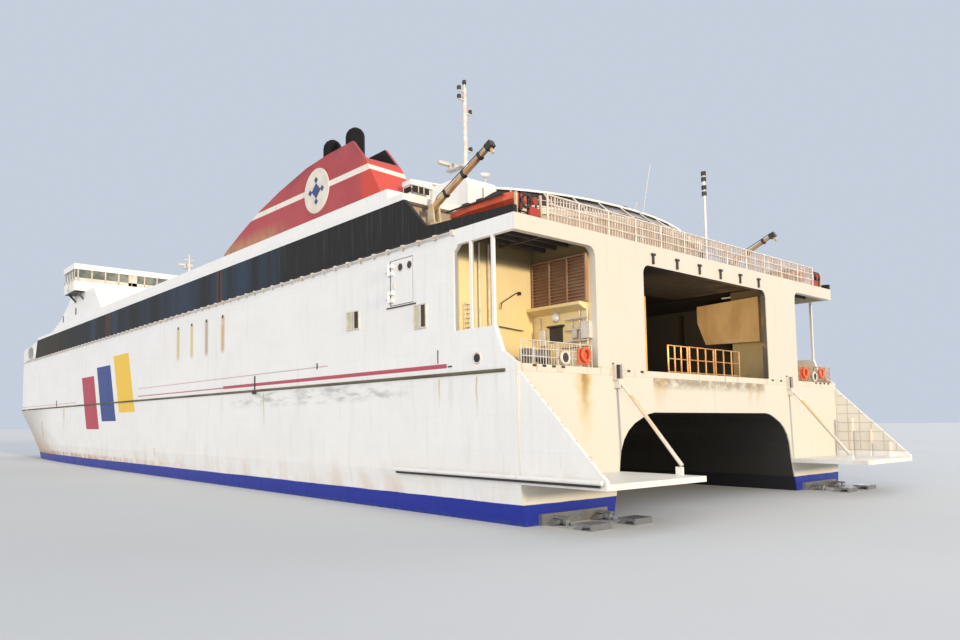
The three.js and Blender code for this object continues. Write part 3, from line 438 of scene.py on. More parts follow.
def funnel_paint(settings):
    paint = Paint("funnel_red", settings.red)
    wear = settings.wear
    fade = paint.noise(3, 0.3, 0.75, (1, 1, 1.4))
    paint.cover(fade, (0.47, 0.10, 0.11), 0.45)
    # pale stripe: a straight line on each outer face, falling away over the aft face
    rise = paint.sum("ADD", paint.sum("MULTIPLY", paint.sum("SUBTRACT", paint.x, at(14.8)), 0.012), 2.357)
    inward = paint.sum("MULTIPLY", paint.sum("SUBTRACT", FUNNEL_FACE, paint.wide), 0.05)
    rise = paint.sum("SUBTRACT", rise, paint.all(paint.step(paint.x, at(15.8), at(14.9)), inward))
    paint.patch((0.62, 0.055, 0.018), 0.75, s=(15.6, 15.0), z=(2.44, 2.38))
    paint.cover(paint.step(paint.off(paint.z, rise), 0.0235, 0.0205), (0.78, 0.70, 0.60))
    stain = paint.noise(10, 0.22, 0.5, (1, 1, 0.5))
    foot = paint.patch((0.44, 0.235, 0.11), 0.85 * wear, stain, z=(2.28, 2.15), s=(24, 30))
    paint.cover(paint.all(foot, paint.noise(24, 0.5, 0.65, (1, 1, 0.4))), (0.20, 0.11, 0.04), 0.6 * wear)
    paint.patch((0.07, 0.03, 0.03), 0.6 * wear, paint.noise(5, 0.35, 0.7), z=(2.40, 2.62))
    well = {"wide": (1.583, 1.862, 0.0005), "s": (15.01, 24.19, 0.0005), "z": (2.3995, 2.4005)}
    paint.patch((0.015, 0.014, 0.014), 1.0, **well)
    paint.cover(paint.noise(9, 0.55, 0.85, (3, 3, 0.25)), (0.12, 0.03, 0.03), 0.35 * wear)
    paint.gloss(fade, 0.38, 0.6)
    paint.bump(paint.noise(8, 0.2, 0.8), 0.12, 0.003)
    return paint.done()


def bay_paint(settings):
    paint = Paint("bay_yellow", settings.yellow)
    weathered(paint, settings, seams=0.12)
    paint.cover(paint.noise(3, 0.3, 0.7), (0.80, 0.68, 0.40), 0.5)
    paint.patch((0.30, 0.22, 0.12), 0.6 * settings.wear, paint.noise(7, 0.3, 0.6), z=(1.05, 0.87))
    # painted shade at the top of the bay's walls, under the deck
    paint.patch((0.15, 0.105, 0.05), 0.85, z=(1.49, 1.565))
    # painted shade on the hall's side of the wall, with the trunk's casing
    paint.patch((0.055, 0.050, 0.040), 1.0, wide=(1.2725, 1.2715))
    # the trunk's casing in a tan made bright to stand in for the sunlight on it: painted light
    trunk = paint.patch((0.74, 0.52, 0.27), 0.95, wide=(1.2712, 1.2700))
    paint.cover(paint.all(trunk, paint.noise(6, 0.4, 0.7, (1, 1, 0.4))), (0.40, 0.22, 0.08), 0.6)
    # painted shade on the trunk's aft end
    paint.patch((0.20, 0.145, 0.09), 0.75, trunk, s=(2.6, 1.8))
    return paint.done()


def plain(name, base, roughness, second, scale, amount, bump=0.15, stretch=(1, 1, 1), **inputs):
    """A finish whose colour and gloss wander between two tones."""
    paint = Paint(name, base, roughness, **inputs)
    mask = paint.noise(scale, stretch=stretch)
    paint.cover(mask, second, amount)
    paint.gloss(mask, max(0.05, roughness - 0.1), min(1.0, roughness + 0.15))
    paint.bump(paint.noise(scale * 6, 0.2, 0.8, stretch, 2), bump, 0.0012)
    return paint.done()


def mast_paint():
    """White pole whose thick parts, the lamps, are black."""
    paint = Paint("stern_mast_white", (0.76, 0.73, 0.68), 0.45)
    paint.cover(paint.noise(16), (0.50, 0.36, 0.24), 0.4)
    reach = paint.sum("MAXIMUM", paint.off(paint.x, STERN + 0.06), paint.off(paint.y, -0.08))
    thick = paint.step(reach, 0.0096, 0.0104)
    paint.patch((0.010, 0.010, 0.012), 1.0, thick, z=(1.9, 1.95))
    paint.patch((0.03, 0.024, 0.012), 1.0, thick, z=(2.15, 2.19, SOFT))
    return paint.done()


PLAIN = {
    # finish: material, colour, roughness, second colour, noise scale, amount of the second
    "steel": ("galvanised_steel", (0.34, 0.35, 0.36), 0.42, (0.20, 0.17, 0.14), 18, 0.5),
    "dark": ("dark_fitting", (0.018, 0.018, 0.020), 0.5, (0.07, 0.045, 0.03), 20, 0.5),
    "tube": ("rail_white", (0.66, 0.62, 0.56), 0.4, (0.48, 0.32, 0.20), 16, 0.45),
    "crane": ("crane_cream", (0.66, 0.47, 0.25), 0.5, (0.36, 0.16, 0.06), 9, 0.75),
    # near-black umber: painted shade on the stowed stern door and the hall's frames in the dark hall; also
    # a dark side pane
    "tan": ("door_tan", (0.060, 0.044, 0.031), 0.6, (0.035, 0.026, 0.019), 6, 0.6),
    "louvre": ("louvre_brown", (0.33, 0.17, 0.095), 0.55, (0.40, 0.26, 0.16), 7, 0.6),
    "orange": ("boat_orange", (0.56, 0.075, 0.02), 0.5, (0.33, 0.05, 0.03), 7, 0.6),
    "buoy": ("buoy_orange", (0.75, 0.13, 0.04), 0.45, (0.52, 0.09, 0.04), 12, 0.5),
    "amber": ("rail_yellow", (0.58, 0.31, 0.10), 0.5, (0.34, 0.15, 0.06), 12, 0.7),
    "column": ("column_cream", (0.62, 0.53, 0.36), 0.5, (0.42, 0.24, 0.10), 11, 0.55),
    "baluster": ("rail_pink", (0.62, 0.50, 0.42), 0.5, (0.40, 0.26, 0.18), 9, 0.6),
    "signal": ("jamb_yellow", (0.80, 0.50, 0.045), 0.5, (0.55, 0.28, 0.04), 9, 0.5),
    "red": ("gear_red", (0.42, 0.035, 0.025), 0.5, (0.20, 0.03, 0.02), 14, 0.6),
    "shade": ("shade_cream", (0.60, 0.56, 0.38), 0.5, (0.40, 0.37, 0.24), 20, 0.5),
    "disc": ("disc_cream", (0.74, 0.68, 0.58), 0.45, (0.55, 0.42, 0.30), 14, 0.4),
    "sign": ("sign_blue", (0.03, 0.05, 0.18), 0.45, (0.08, 0.09, 0.16), 20, 0.5),
    "lamp": ("lamp_white", (0.75, 0.76, 0.78), 0.25, (0.6, 0.6, 0.62), 20, 0.5),
    "rubber": ("fender_rubber", (0.15, 0.125, 0.075), 0.8, (0.07, 0.06, 0.04), 7, 0.7),
    # painted shade on the wall behind the stern rail, mottled darker
    "buff": ("aft_wall_buff", (0.42, 0.335, 0.25), 0.65, (0.24, 0.165, 0.11), 11, 0.8),
    "black": ("exhaust_black", (0.006, 0.006, 0.007), 0.7, (0.018, 0.016, 0.015), 8, 0.5),
    "glass": ("dark_glass", (0.012, 0.016, 0.021), 0.08, (0.05, 0.06, 0.07), 2.5, 0.5),
    "brown_glass": ("bronze_glass", (0.022, 0.018, 0.018), 0.3, (0.05, 0.04, 0.035), 3, 0.5),
    "pane": ("bridge_glass", (0.10, 0.115, 0.10), 0.12, (0.30, 0.30, 0.24), 5, 0.6),
}
EXTRAS = {
    "steel": {"Metallic": 0.8},
    "rubber": {"stretch": (0.3, 1, 1)},
    "buff": {"stretch": (1, 1, 0.3)},
    "black": {"Specular IOR Level": 0.15},
    "glass": {"bump": 0.02, "Coat Weight": 0.4},
    "brown_glass": {"bump": 0.02, "Specular IOR Level": 0.12},
    "pane": {"bump": 0.02, "Coat Weight": 0.4},
}


def make_materials(settings):
    made = {finish: plain(*row, **EXTRAS.get(finish, {})) for finish, row in PLAIN.items()}
    made.update(
        side=side_paint("side_white", settings),
        hull=side_paint("hull_white", settings, boot=True),
        stern=stern_paint(settings),
        house=house_paint("house_white", settings),
        # the eave's lower part behind the stern rail in painted shade
        eave=house_paint("eave_white", settings, foot=(0.42, 0.335, 0.25)),
        band=band_paint(settings),
        funnel=funnel_paint(settings),
        bay=bay_paint(settings),
        deck=edged_paint("upper_deck_coating", (0.12, 0.15, 0.14), settings.white, settings, deckhead=True),
        hall=edged_paint("hall_floor", (0.11, 0.10, 0.09), settings.cream, settings),
        mast=mast_paint(),
    )
    return made


PAINTED = {
    # finish: nodes, where a name without port_ or starboard_ stands for both
    "hull": "hull",
    "side": "side_shell side_door bow_shell wing_platform bow_bulwark",
    "stern": "stern_frame cross_structure wing_stay",
    "buff": "saloon_aft_wall",
    "eave": "lounge_eave",
    "house": "saloon_roof upper_house fore_house bridge_body bridge_roof lounge_roof",
    "band": "saloon_wall",
    "funnel": "funnel",
    "bay": "bay_walls",
    "deck": "upper_deck",
    "hall": "vehicle_deck",
    "black": "exhausts",
    "steel": "mooring_winch jet_ducts outer_nozzle inner_nozzle outer_bucket inner_bucket",
    "tube": "main_mast main_scanner fore_mast fore_scanner",
    "mast": "stern_mast",
    "crane": "crane_boom",
    "column": "crane_column",
    "tan": "stern_door",
    "louvre": "louvres",
    "orange": "rescue_boat",
    "brown_glass": "lounge_glazing",
    "pane": "bridge_windows",
}
MATERIALS = {}


class FERRY_OT_paint(bpy.types.Operator):
    """Makes the finishes and paints every node of the frame"""

    bl_idname = "ferry.paint"
    bl_label = "Paint the Ship"

    def execute(self, context):
        MATERIALS.update(make_materials(context.scene.ferry_paint))
        for finish, names in PAINTED.items():
            for name in names.split():
                for full in (name, "port_" + name, "starboard_" + name):
                    if full in NODES:
                        NODES[full].data.materials.clear()
                        NODES[full].data.materials.append(MATERIALS[finish])
        return {"FINISHED"}


# Meshes


def finish_mesh(name, mesh, material, body=SHIP, smooth=False):
    """Puts a mesh into the scene as a piece that rides on a body."""
    piece = bpy.data.objects.new(name, mesh)
    bpy.context.scene.collection.objects.link(piece)
    if not mesh.materials:
        mesh.materials.append(MATERIALS[material])
    if smooth:
        mesh.shade_smooth()
    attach(piece, body)


def from_bmesh(name, bm, material, body=SHIP, smooth=False):
    """Cleans a mesh that was put together from parts and makes a piece of it."""
    bmesh.ops.remove_doubles(bm, verts=bm.verts, dist=1e-6)
    bmesh.ops.recalc_face_normals(bm, faces=bm.faces)
    mesh = bpy.data.meshes.new(name)
    bm.to_mesh(mesh)
    bm.free()
    finish_mesh(name, mesh, material, body, smooth)


def about(middle, half):
    """The two ends of a length that lies evenly about its middle."""
    return middle - half, middle + half


def add_box(bm, x, y, z, bevel=0.0):
    """A box from its two ends along each axis, with its edges eased where a bevel is given."""
    part = bmesh.new()
    bmesh.ops.create_cube(part, size=1)
    low, high = (Vector(corner) for corner in zip(*map(sorted, (x, y, z))))
    place = Matrix.Translation((high + low) / 2) @ Matrix.Diagonal((*(high - low), 1))
    bmesh.ops.transform(part, matrix=place, verts=part.verts)
    if bevel:
        bmesh.ops.bevel(part, geom=part.edges, offset=bevel, segments=2, affect="EDGES", profile=0.7)
    merge(bm, part)


def add_lathe(bm, profile, origin, axis=UP, sides=20):
    """A turned form: [radius, height] points about an axis through the origin."""
    part = bmesh.new()
    rings = []
    for radius, height in profile:
        if radius < 1e-6:
            rings.append([part.verts.new((0, 0, height))])
            continue
        turn = [2 * math.pi * i / sides for i in range(sides)]
        rings.append([part.verts.new((radius * math.cos(a), radius * math.sin(a), height)) for a in turn])
    for low, high in zip(rings, rings[1:]):
        for i in range(sides):
            j = i + 1
            around = (low[i % len(low)], low[j % len(low)], high[j % len(high)], high[i % len(high)])
            corners = list(dict.fromkeys(around))
            if len(corners) > 2:
                part.faces.new(corners)
    for ring, first in ((rings[0], True), (rings[-1], False)):
        if len(ring) > 1:
            part.faces.new(ring[::-1] if first else ring)
    stand(part, origin, axis)
    merge(bm, part)


def add_prism(bm, outline, offset):
    """Extrudes a closed outline of 3-D points by a vector."""
    part = bmesh.new()
    low = [part.verts.new(p) for p in outline]
    high = [part.verts.new(Vector(p) + Vector(offset)) for p in outline]
    part.faces.new(low)
    part.faces.new(high[::-1])
    for i in range(len(low)):
        j = (i + 1) % len(low)
        part.faces.new((low[i], low[j], high[j], high[i]))
    bmesh.ops.recalc_face_normals(part, faces=part.faces)
    merge(bm, part)


def add_torus(bm, centre, axis, radius, tube):
    """A ring about an axis through its centre."""
    sides, round_sides = 28, 10
    part = bmesh.new()
    rows = []
    for i in range(sides):
        a = 2 * math.pi * i / sides
        row = []
        for j in range(round_sides):
            b = 2 * math.pi * j / round_sides
            reach = radius + tube * math.cos(b)
            row.append(part.verts.new((reach * math.cos(a), reach * math.sin(a), tube * math.sin(b))))
        rows.append(row)
    for i in range(sides):
        for j in range(round_sides):
            k, m = (i + 1) % sides, (j + 1) % round_sides
            part.faces.new((rows[i][j], rows[k][j], rows[k][m], rows[i][m]))
    stand(part, centre, axis)
    merge(bm, part)


def stand(part, origin, axis):
    """Turns a part's upright axis along another and moves it to its origin."""
    turn = Vector(UP).rotation_difference(Vector(axis)).to_matrix().to_4x4()
    bmesh.ops.transform(part, matrix=Matrix.Translation(origin) @ turn, verts=part.verts)


def merge(bm, part):
    """Moves a part's faces into a larger mesh."""
    mesh = bpy.data.meshes.new("part")
    part.to_mesh(mesh)
    part.free()
    bm.from_mesh(mesh)
    bpy.data.meshes.remove(mesh)


def both_sides(*makers):
    """Calls each maker as maker(prefix, side) for port and starboard."""
    for make in makers:
        make("port", 1)
        make("starboard", -1)


# Geometry Nodes


class Tree:
    """A geometry node group being built, with named inputs."""

    def __init__(self, name, **inputs):
        self.group = bpy.data.node_groups.new(name, "GeometryNodeTree")
        face = self.group.interface
        face.new_socket("Geometry", in_out="INPUT", socket_type="NodeSocketGeometry")
        face.new_socket("Geometry", in_out="OUTPUT", socket_type="NodeSocketGeometry")
        for key, value in inputs.items():
            kind = "NodeSocketInt" if isinstance(value, int) else "NodeSocketFloat"
            socket = face.new_socket(key, in_out="INPUT", socket_type=kind)
            socket.default_value = value
        face.new_socket("Material", in_out="INPUT", socket_type="NodeSocketMaterial")
        self.input = self.group.nodes.new("NodeGroupInput")
        self.output = self.group.nodes.new("NodeGroupOutput")

    def add(self, kind, links=None, **options):
        node = self.group.nodes.new(kind)
        for key, value in options.items():
            setattr(node, key, value)
        for key, value in (links or {}).items():
            socket = node.inputs[key]
            if isinstance(value, bpy.types.NodeSocket):
                self.group.links.new(value, socket)
            else:
                socket.default_value = value
        return node

    def line(self):
        """The lines that the tree is run on, as curves."""
        return self.add("GeometryNodeMeshToCurve", {"Mesh": self.input.outputs["Geometry"]}).outputs[0]

    def placed(self, line, gap, instance):
        """The instance at an even gap along a line."""
        even = self.add("GeometryNodeResampleCurve", {"Curve": line, "Length": gap}, mode="LENGTH")
        points = self.add("GeometryNodeCurveToPoints", {"Curve": even.outputs[0]}, mode="EVALUATED")
        links = {"Points": points.outputs[0], "Instance": instance}
        return self.add("GeometryNodeInstanceOnPoints", links).outputs[0]

    def lift(self, geometry, height):
        """Moves geometry up by a height socket."""
        offset = self.add("ShaderNodeCombineXYZ", {"Z": height})
        links = {"Geometry": geometry, "Offset": offset.outputs[0]}
        return self.add("GeometryNodeSetPosition", links).outputs[0]

    def scaled(self, value, factor):
        return self.add("ShaderNodeMath", {0: value, 1: factor}, operation="MULTIPLY").outputs[0]

    def tube(self, curve, radius, sides=8):
        """A round tube along a curve."""
        ring = self.add("GeometryNodeCurvePrimitiveCircle", {"Resolution": sides, "Radius": radius})
        links = {"Curve": curve, "Profile Curve": ring.outputs[0], "Fill Caps": True}
        return self.add("GeometryNodeCurveToMesh", links).outputs[0]

    def finish(self, *parts):
        join = self.add("GeometryNodeJoinGeometry")
        for part in parts:
            self.group.links.new(part, join.inputs[0])
        real = self.add("GeometryNodeRealizeInstances", {"Geometry": join.outputs[0]})
        links = {"Geometry": real.outputs[0], "Material": self.input.outputs["Material"]}
        painted = self.add("GeometryNodeSetMaterial", links)
        self.group.links.new(painted.outputs[0], self.output.inputs[0])
        return self.group


def rail_tree():
    """Guard rails along a line on the deck: rows of tube, posts, and thin upright bars."""
    tree = Tree("guard_rail", Height=0.13, Tube=0.003, Bar=0.0016, Post_gap=0.15, Bar_gap=0.02)
    given = tree.input.outputs
    line = tree.line()
    parts = []
    for share in (1.0, 0.66, 0.33):
        parts.append(tree.tube(tree.lift(line, tree.scaled(given["Height"], share)), given["Tube"]))
    for gap, radius in (("Post_gap", "Tube"), ("Bar_gap", "Bar")):
        links = {"Vertices": 6, "Radius": given[radius], "Depth": given["Height"]}
        rod = tree.add("GeometryNodeMeshCylinder", links)
        offset = tree.add("ShaderNodeCombineXYZ", {"Z": tree.scaled(given["Height"], 0.5)})
        links = {"Geometry": rod.outputs[0], "Translation": offset.outputs[0]}
        raised = tree.add("GeometryNodeTransform", links)
        parts.append(tree.placed(line, given[gap], raised.outputs[0]))
    return tree.finish(*parts)


def pipe_tree():
    """Round tube along every line of the mesh."""
    tree = Tree("pipe_run", Radius=0.003, Sides=8)
    given = tree.input.outputs
    return tree.finish(tree.tube(tree.line(), given["Radius"], given["Sides"]))


def row_tree():
    """Blocks at an even pitch along a line, each square to the world."""
    tree = Tree("row_of_blocks", Pitch=0.1, Size_x=0.01, Size_y=0.01, Size_z=0.01)
    given = tree.input.outputs
    size = tree.add("ShaderNodeCombineXYZ", {axis: given["Size_" + axis.lower()] for axis in "XYZ"})
    block = tree.add("GeometryNodeMeshCube", {"Size": size.outputs[0]})
    return tree.finish(tree.placed(tree.line(), given["Pitch"], block.outputs[0]))


TREES = {}


def grow(name, make_tree, lines, material, body=SHIP, **inputs):
    """Runs a tree on lines of points and keeps the result as a plain mesh."""
    group = TREES.get(make_tree) or TREES.setdefault(make_tree, make_tree())
    points, edges = [], []
    for line in lines:
        start = len(points)
        points.extend(Vector(p) for p in line)
        edges.extend((start + i, start + i + 1) for i in range(len(line) - 1))
    mesh = bpy.data.meshes.new(name + "_line")
    mesh.from_pydata(points, edges, [])
    maker = bpy.data.objects.new(name + "_line", mesh)
    bpy.context.scene.collection.objects.link(maker)
    modifier = maker.modifiers.new("grow", "NODES")
    modifier.node_group = group
    inputs["Material"] = MATERIALS[material]
    for item in group.interface.items_tree:
        if item.in_out == "INPUT" and item.name in inputs:
            modifier[item.identifier] = inputs[item.name]
    graph = bpy.context.evaluated_depsgraph_get()
    made = bpy.data.meshes.new_from_object(maker.evaluated_get(graph), depsgraph=graph)
    made.name = name
    maker.modifiers.remove(modifier)
    bpy.data.objects.remove(maker)
    finish_mesh(name, made, material, body)


def rails(name, lines, material="tube", **changes):
    """Guard rails along lines, in the sizes of the settings except where changed."""
    settings = bpy.context.scene.ferry_rails
    inputs = {key.capitalize(): getattr(settings, key) for key in FerryRails.__annotations__}
    inputs.update(changes)
    grow(name, rail_tree, lines, material, **inputs)


def pipes(name, lines, radius, material, body=SHIP, sides=8):
    """Round tube along lines of points."""
    grow(name, pipe_tree, lines, material, body, Radius=radius, Sides=sides)


def row(name, start, end, material, pitch, size):
    """Blocks of one size at an even pitch from start to end."""
    sizes = dict(zip(("Size_x", "Size_y", "Size_z"), size))
    grow(name, row_tree, [[start, end]], material, Pitch=pitch, **sizes)


# Sides


def add_plate(bm, side, s0, s1, z0, z1, out, plane=HALF_BEAM):
    """A plate on a ship's side, or on another upright plane along the ship."""
    add_box(bm, (at(s0), at(s1)), (side * plane, side * (plane + out)), (z0, z1))


def add_frame(bm, side, s0, s1, z0, z1):
    """A rectangular frame on a ship's side."""
    edge = 0.008
    y = (side * HALF_BEAM, side * (HALF_BEAM + edge))
    x0, x1 = at(s0), at(s1)
    for z in ((z0 - edge, z0), (z1, z1 + edge)):
        add_box(bm, (x0 - edge, x1 + edge), y, z)
    for x in ((x0 - edge, x0), (x1, x1 + edge)):
        add_box(bm, x, y, (z0, z1))


class FERRY_OT_side_fittings(bpy.types.Operator):
    """Makes the gutters, windows, slots and fairleads of the ship's sides"""

    bl_idname = "ferry.side_fittings"
    bl_label = "Fit the Sides"

    def execute(self, context):
        both_sides(side_gutter, side_windows, door_windows)
        return {"FINISHED"}


def side_gutter(prefix, side):
    for name, s0, s1, out, z, radius, material in (
        ("_gutter", 4.7, 111, 0.017, GUTTER, 0.0055, "tube"),
        # a dark tube under the low pipe: painted shadow
        ("_tube_underside", -5.0, 10.1, 0.006, 0.242, 0.007, "dark"),
        ("_fender_lip", 0.8, 111, 0.002, FENDER_LIP, 0.010, "rubber"),
    ):
        y = side * (HALF_BEAM + out)
        pipes(prefix + name, [[(at(s0), y, z), (at(s1), y, z)]], radius, material)
    for name, shift, out, z, material, size in (
        # dark blocks between the gutter's brackets: painted shadow of the gutter on the band
        ("_gutter_gaps", 0.075, 0.002, 1.668, "dark", (0.112, 0.005, 0.012)),
        ("_gutter_brackets", 0.0, 0.009, 1.653, "tube", (0.022, 0.018, 0.030)),
    ):
        ends = [(at(s) + shift, side * (HALF_BEAM + out), z) for s in (4.7, 111)]
        row(prefix + name, *ends, material, 0.15, size)


SIDE_WINDOWS = (
    # finish, aft and forward end (s), foot and top in z
    ("dark", 14.12, 14.62, 1.195, 1.31),
    ("shade", 14.92, 15.42, 1.195, 1.31),
    ("tan", 7.2, 7.62, 1.13, 1.265),
    ("shade", 7.78, 8.2, 1.13, 1.265),
)
SIDE_PLATES = (
    # aft and forward end (s), foot and top in z, thickness
    (8.1, 11.0, 1.281, 1.288, 0.007),
    (4.95, 5.3, 0.868, 0.876, 0.003),
    (28.90, 29.06, 0.80, 0.95, 0.005),
    (28.7, 29.3, 0.80, 0.824, 0.014),
    (6.12, 6.18, 0.895, 0.975, 0.003),
    (19.3, 19.42, 0.945, 0.99, 0.003),
    (92.0, 92.2, 0.84, 0.93, 0.005),
)


def side_windows(prefix, side):
    made = {finish: bmesh.new() for finish in ("tube", "tan", "shade", "dark")}
    for finish, *ends in SIDE_WINDOWS:
        add_frame(made["tube"], side, *ends)
        add_plate(made[finish], side, *ends, 0.003)
    for plate in SIDE_PLATES:
        add_plate(made["dark"], side, *plate)
    for s in SLOTS:
        add_plate(made["dark"], side, *about(s, 0.12), 1.515, 1.54, 0.004)
    place = (at(2.9), side * HALF_BEAM, FAIRLEAD)
    # dark disc in the side fairlead's hole: painted shade
    add_lathe(made["dark"], [(0.024, 0), (0.024, 0.004)], place, (0, side, 0))
    add_torus(made["tube"], place, (0, 1, 0), 0.029, 0.006)
    for (finish, bm), name in zip(made.items(), ("frames", "panes", "shades", "openings")):
        from_bmesh(f"{prefix}_side_{name}", bm, finish)


def door_windows(prefix, side):
    rings, panes = bmesh.new(), bmesh.new()
    for s in (8.7, 9.6):
        place = (at(s), side * HALF_BEAM, 1.535)
        add_torus(rings, place, (0, 1, 0), 0.026, 0.004)
        add_lathe(panes, [(0.026, -0.001), (0.026, 0.002)], place, (0, side, 0))
    add_plate(rings, side, 10.2, 10.28, 1.41, 1.44, 0.008)
    from_bmesh(prefix + "_door_rings", rings, "tube", prefix + "_side_door")
    from_bmesh(prefix + "_door_panes", panes, "glass", prefix + "_side_door")


# Stern


class FERRY_OT_stern_fittings(bpy.types.Operator):
    """Makes the rails, brackets, gates and lifebuoys of the stern"""

    bl_idname = "ferry.stern_fittings"
    bl_label = "Fit the Stern"

    def execute(self, context):
        stern_rails()
        stern_brackets()
        hall_gates()
        hall_fittings()
        both_sides(corner_gear, bay_edge, bay_walls)
        return {"FINISHED"}


def stern_rails():
    x = STERN + RAIL_INSET
    line = [(x, 1.70, UPPER), (x, -1.70, UPPER)]
    rails("stern_rail", [line], Height=0.152, Post_gap=0.27, Tube=0.0055, Bar_gap=0.07)
    ends = [(x + 0.002, y, UPPER + 0.074) for y in (1.69, -1.69)]
    row("stern_rail_balusters", *ends, "baluster", 0.027, (0.004, 0.010, 0.142))


def corner_gear(prefix, side):
    """Posts, frame, reel and box that stand at the corner of the upper deck."""
    x = STERN + 0.05
    foot = UPPER + 0.0003
    posts, bars, red = bmesh.new(), bmesh.new(), bmesh.new()
    for y, half, height in ((1.924, 0.007, 0.135), (1.72, 0.006, 0.15)):
        add_box(posts, about(x, half), about(side * y, half), (foot, UPPER + height), 0.002)
    y0, y1 = sorted((side * 1.755, side * 1.895))
    for z in (0.03, 0.135):
        add_box(bars, about(x, 0.004), (y0, y1), (UPPER + z, UPPER + z + 0.007))
    for y in (y0, (y0 + y1) / 2, y1 - 0.007):
        add_box(bars, about(x, 0.004), (y, y + 0.007), (foot, UPPER + 0.142))
    add_torus(bars, (x - 0.012, side * 1.85, UPPER + 0.092), AHEAD, 0.036, 0.008)
    add_box(red, (x - 0.022, x - 0.006), (side * 1.752, side * 1.835), (foot, UPPER + 0.062), 0.004)
    add_lathe(red, [(0.022, 0), (0.022, 0.012)], (x - 0.02, side * 1.80, UPPER + 0.098), ASTERN, 16)
    from_bmesh(prefix + "_corner_posts", posts, "column")
    from_bmesh(prefix + "_corner_frame", bars, "dark")
    from_bmesh(prefix + "_corner_reel", red, "red")


def stern_brackets():
    """Hinge brackets, stay recesses and eye plates on the stern, and the strip on the hall's jamb."""
    dark, pale, strip = bmesh.new(), bmesh.new(), bmesh.new()

    def on_stern(bm, out, y, half, z, bevel=0.0):
        add_box(bm, (STERN - out, STERN), about(y, half), z, bevel)

    for y in (-0.70, -0.42, -0.14, 0.14, 0.42, 0.70):
        on_stern(dark, 0.009, y, 0.009, (1.549, 1.612))
        on_stern(dark, 0.013, y, 0.019, (1.604, 1.617))
    for side in (1, -1):
        on_stern(dark, 0.004, side * STAY, 0.035, (0.802, 0.886))
        on_stern(pale, 0.012, side * STAY, 0.04, (0.886, 0.896))
        for y in (0.86, 1.0, 1.62, 1.7, 1.78, 1.86):
            on_stern(dark, 0.003, side * y, 0.014, (0.846, 0.858))
        for y in (1.090, 1.160):
            on_stern(pale, 0.022, side * y, 0.005, (0.79, 0.895), 0.001)
    add_box(strip, (STERN - 0.004, STERN + 0.03), (0.802, 0.8095), (0.862, 1.33))
    from_bmesh("stern_dark_brackets", dark, "dark")
    from_bmesh("stern_stay_plates", pale, "tube")
    from_bmesh("stern_jamb_strips", strip, "signal")


def hall_gates():
    """Tube gates across the aft end of the vehicle hall."""
    frames, bars = [], []
    z0, z1 = DECK + 0.02, DECK + 0.20
    for y0, y1, ahead in ((0.36, 0.12, 0.12), (0.11, -0.21, 0.11), (-0.22, -0.56, 0.10)):
        x = STERN + ahead
        frames += [[(x, y0, z), (x, y1, z)] for z in (z0, (z0 + z1) / 2, z1)]
        for i in range(4):
            y = y0 + (y1 - y0) * i / 3
            bars.append([(x, y, DECK), (x, y, z1 + 0.002)])
    pipes("hall_gate_rails", frames, 0.0042, "amber")
    pipes("hall_gate_posts", bars, 0.0055, "amber")


def hall_fittings():
    """Frames and lamps of the vehicle hall."""
    posts, lamps = bmesh.new(), bmesh.new()
    for i in range(21):
        for side in (1, -1):
            add_box(posts, about(at(8.5) + i * 0.5, 0.012), (side * 1.962, side * 1.912), (DECK, 1.60))
    for s in (5.4, 16, 30, 46, 62, 78, 94):
        for y in (-0.2, -1.3, 0.9):
            add_box(lamps, about(at(s), 0.05), about(y, 0.02), (1.598, 1.610), 0.004)
    from_bmesh("hall_frames", posts, "tan")
    from_bmesh("hall_lamps", lamps, "lamp")


def bay_edge(prefix, side):
    """Rail, fairlead and lifebuoys at the mooring bay's edge."""
    x = STERN + RAIL_INSET
    line = [(x, side * 1.335, DECK), (x, side * 1.945, DECK)]
    rails(prefix + "_bay_rail", [line], material="tube" if side > 0 else "amber", Post_gap=0.09)
    rings, buoys, hole = bmesh.new(), bmesh.new(), bmesh.new()
    fairlead = (STERN, side * 1.60, FAIRLEAD)
    add_torus(rings, fairlead, AHEAD, 0.034, 0.009)
    # dark disc in the fairlead's hole: painted shade
    add_lathe(hole, [(0.028, 0), (0.028, 0.004)], fairlead, ASTERN)
    for y, z in [(side * 1.42, 0.93)] + [(-1.72, 0.94)] * (side < 0):
        add_torus(buoys, (STERN - 0.006, y, z), AHEAD, 0.036, 0.010)
    add_box(buoys, (STERN + 0.006, STERN + 0.012), about(side * 1.42, 0.055), (0.875, 0.965), 0.002)
    from_bmesh(prefix + "_stern_fairlead", rings, "tube", smooth=True)
    from_bmesh(prefix + "_lifebuoys", buoys, "buoy", smooth=True)
    from_bmesh(prefix + "_stern_fairlead_hole", hole, "dark")


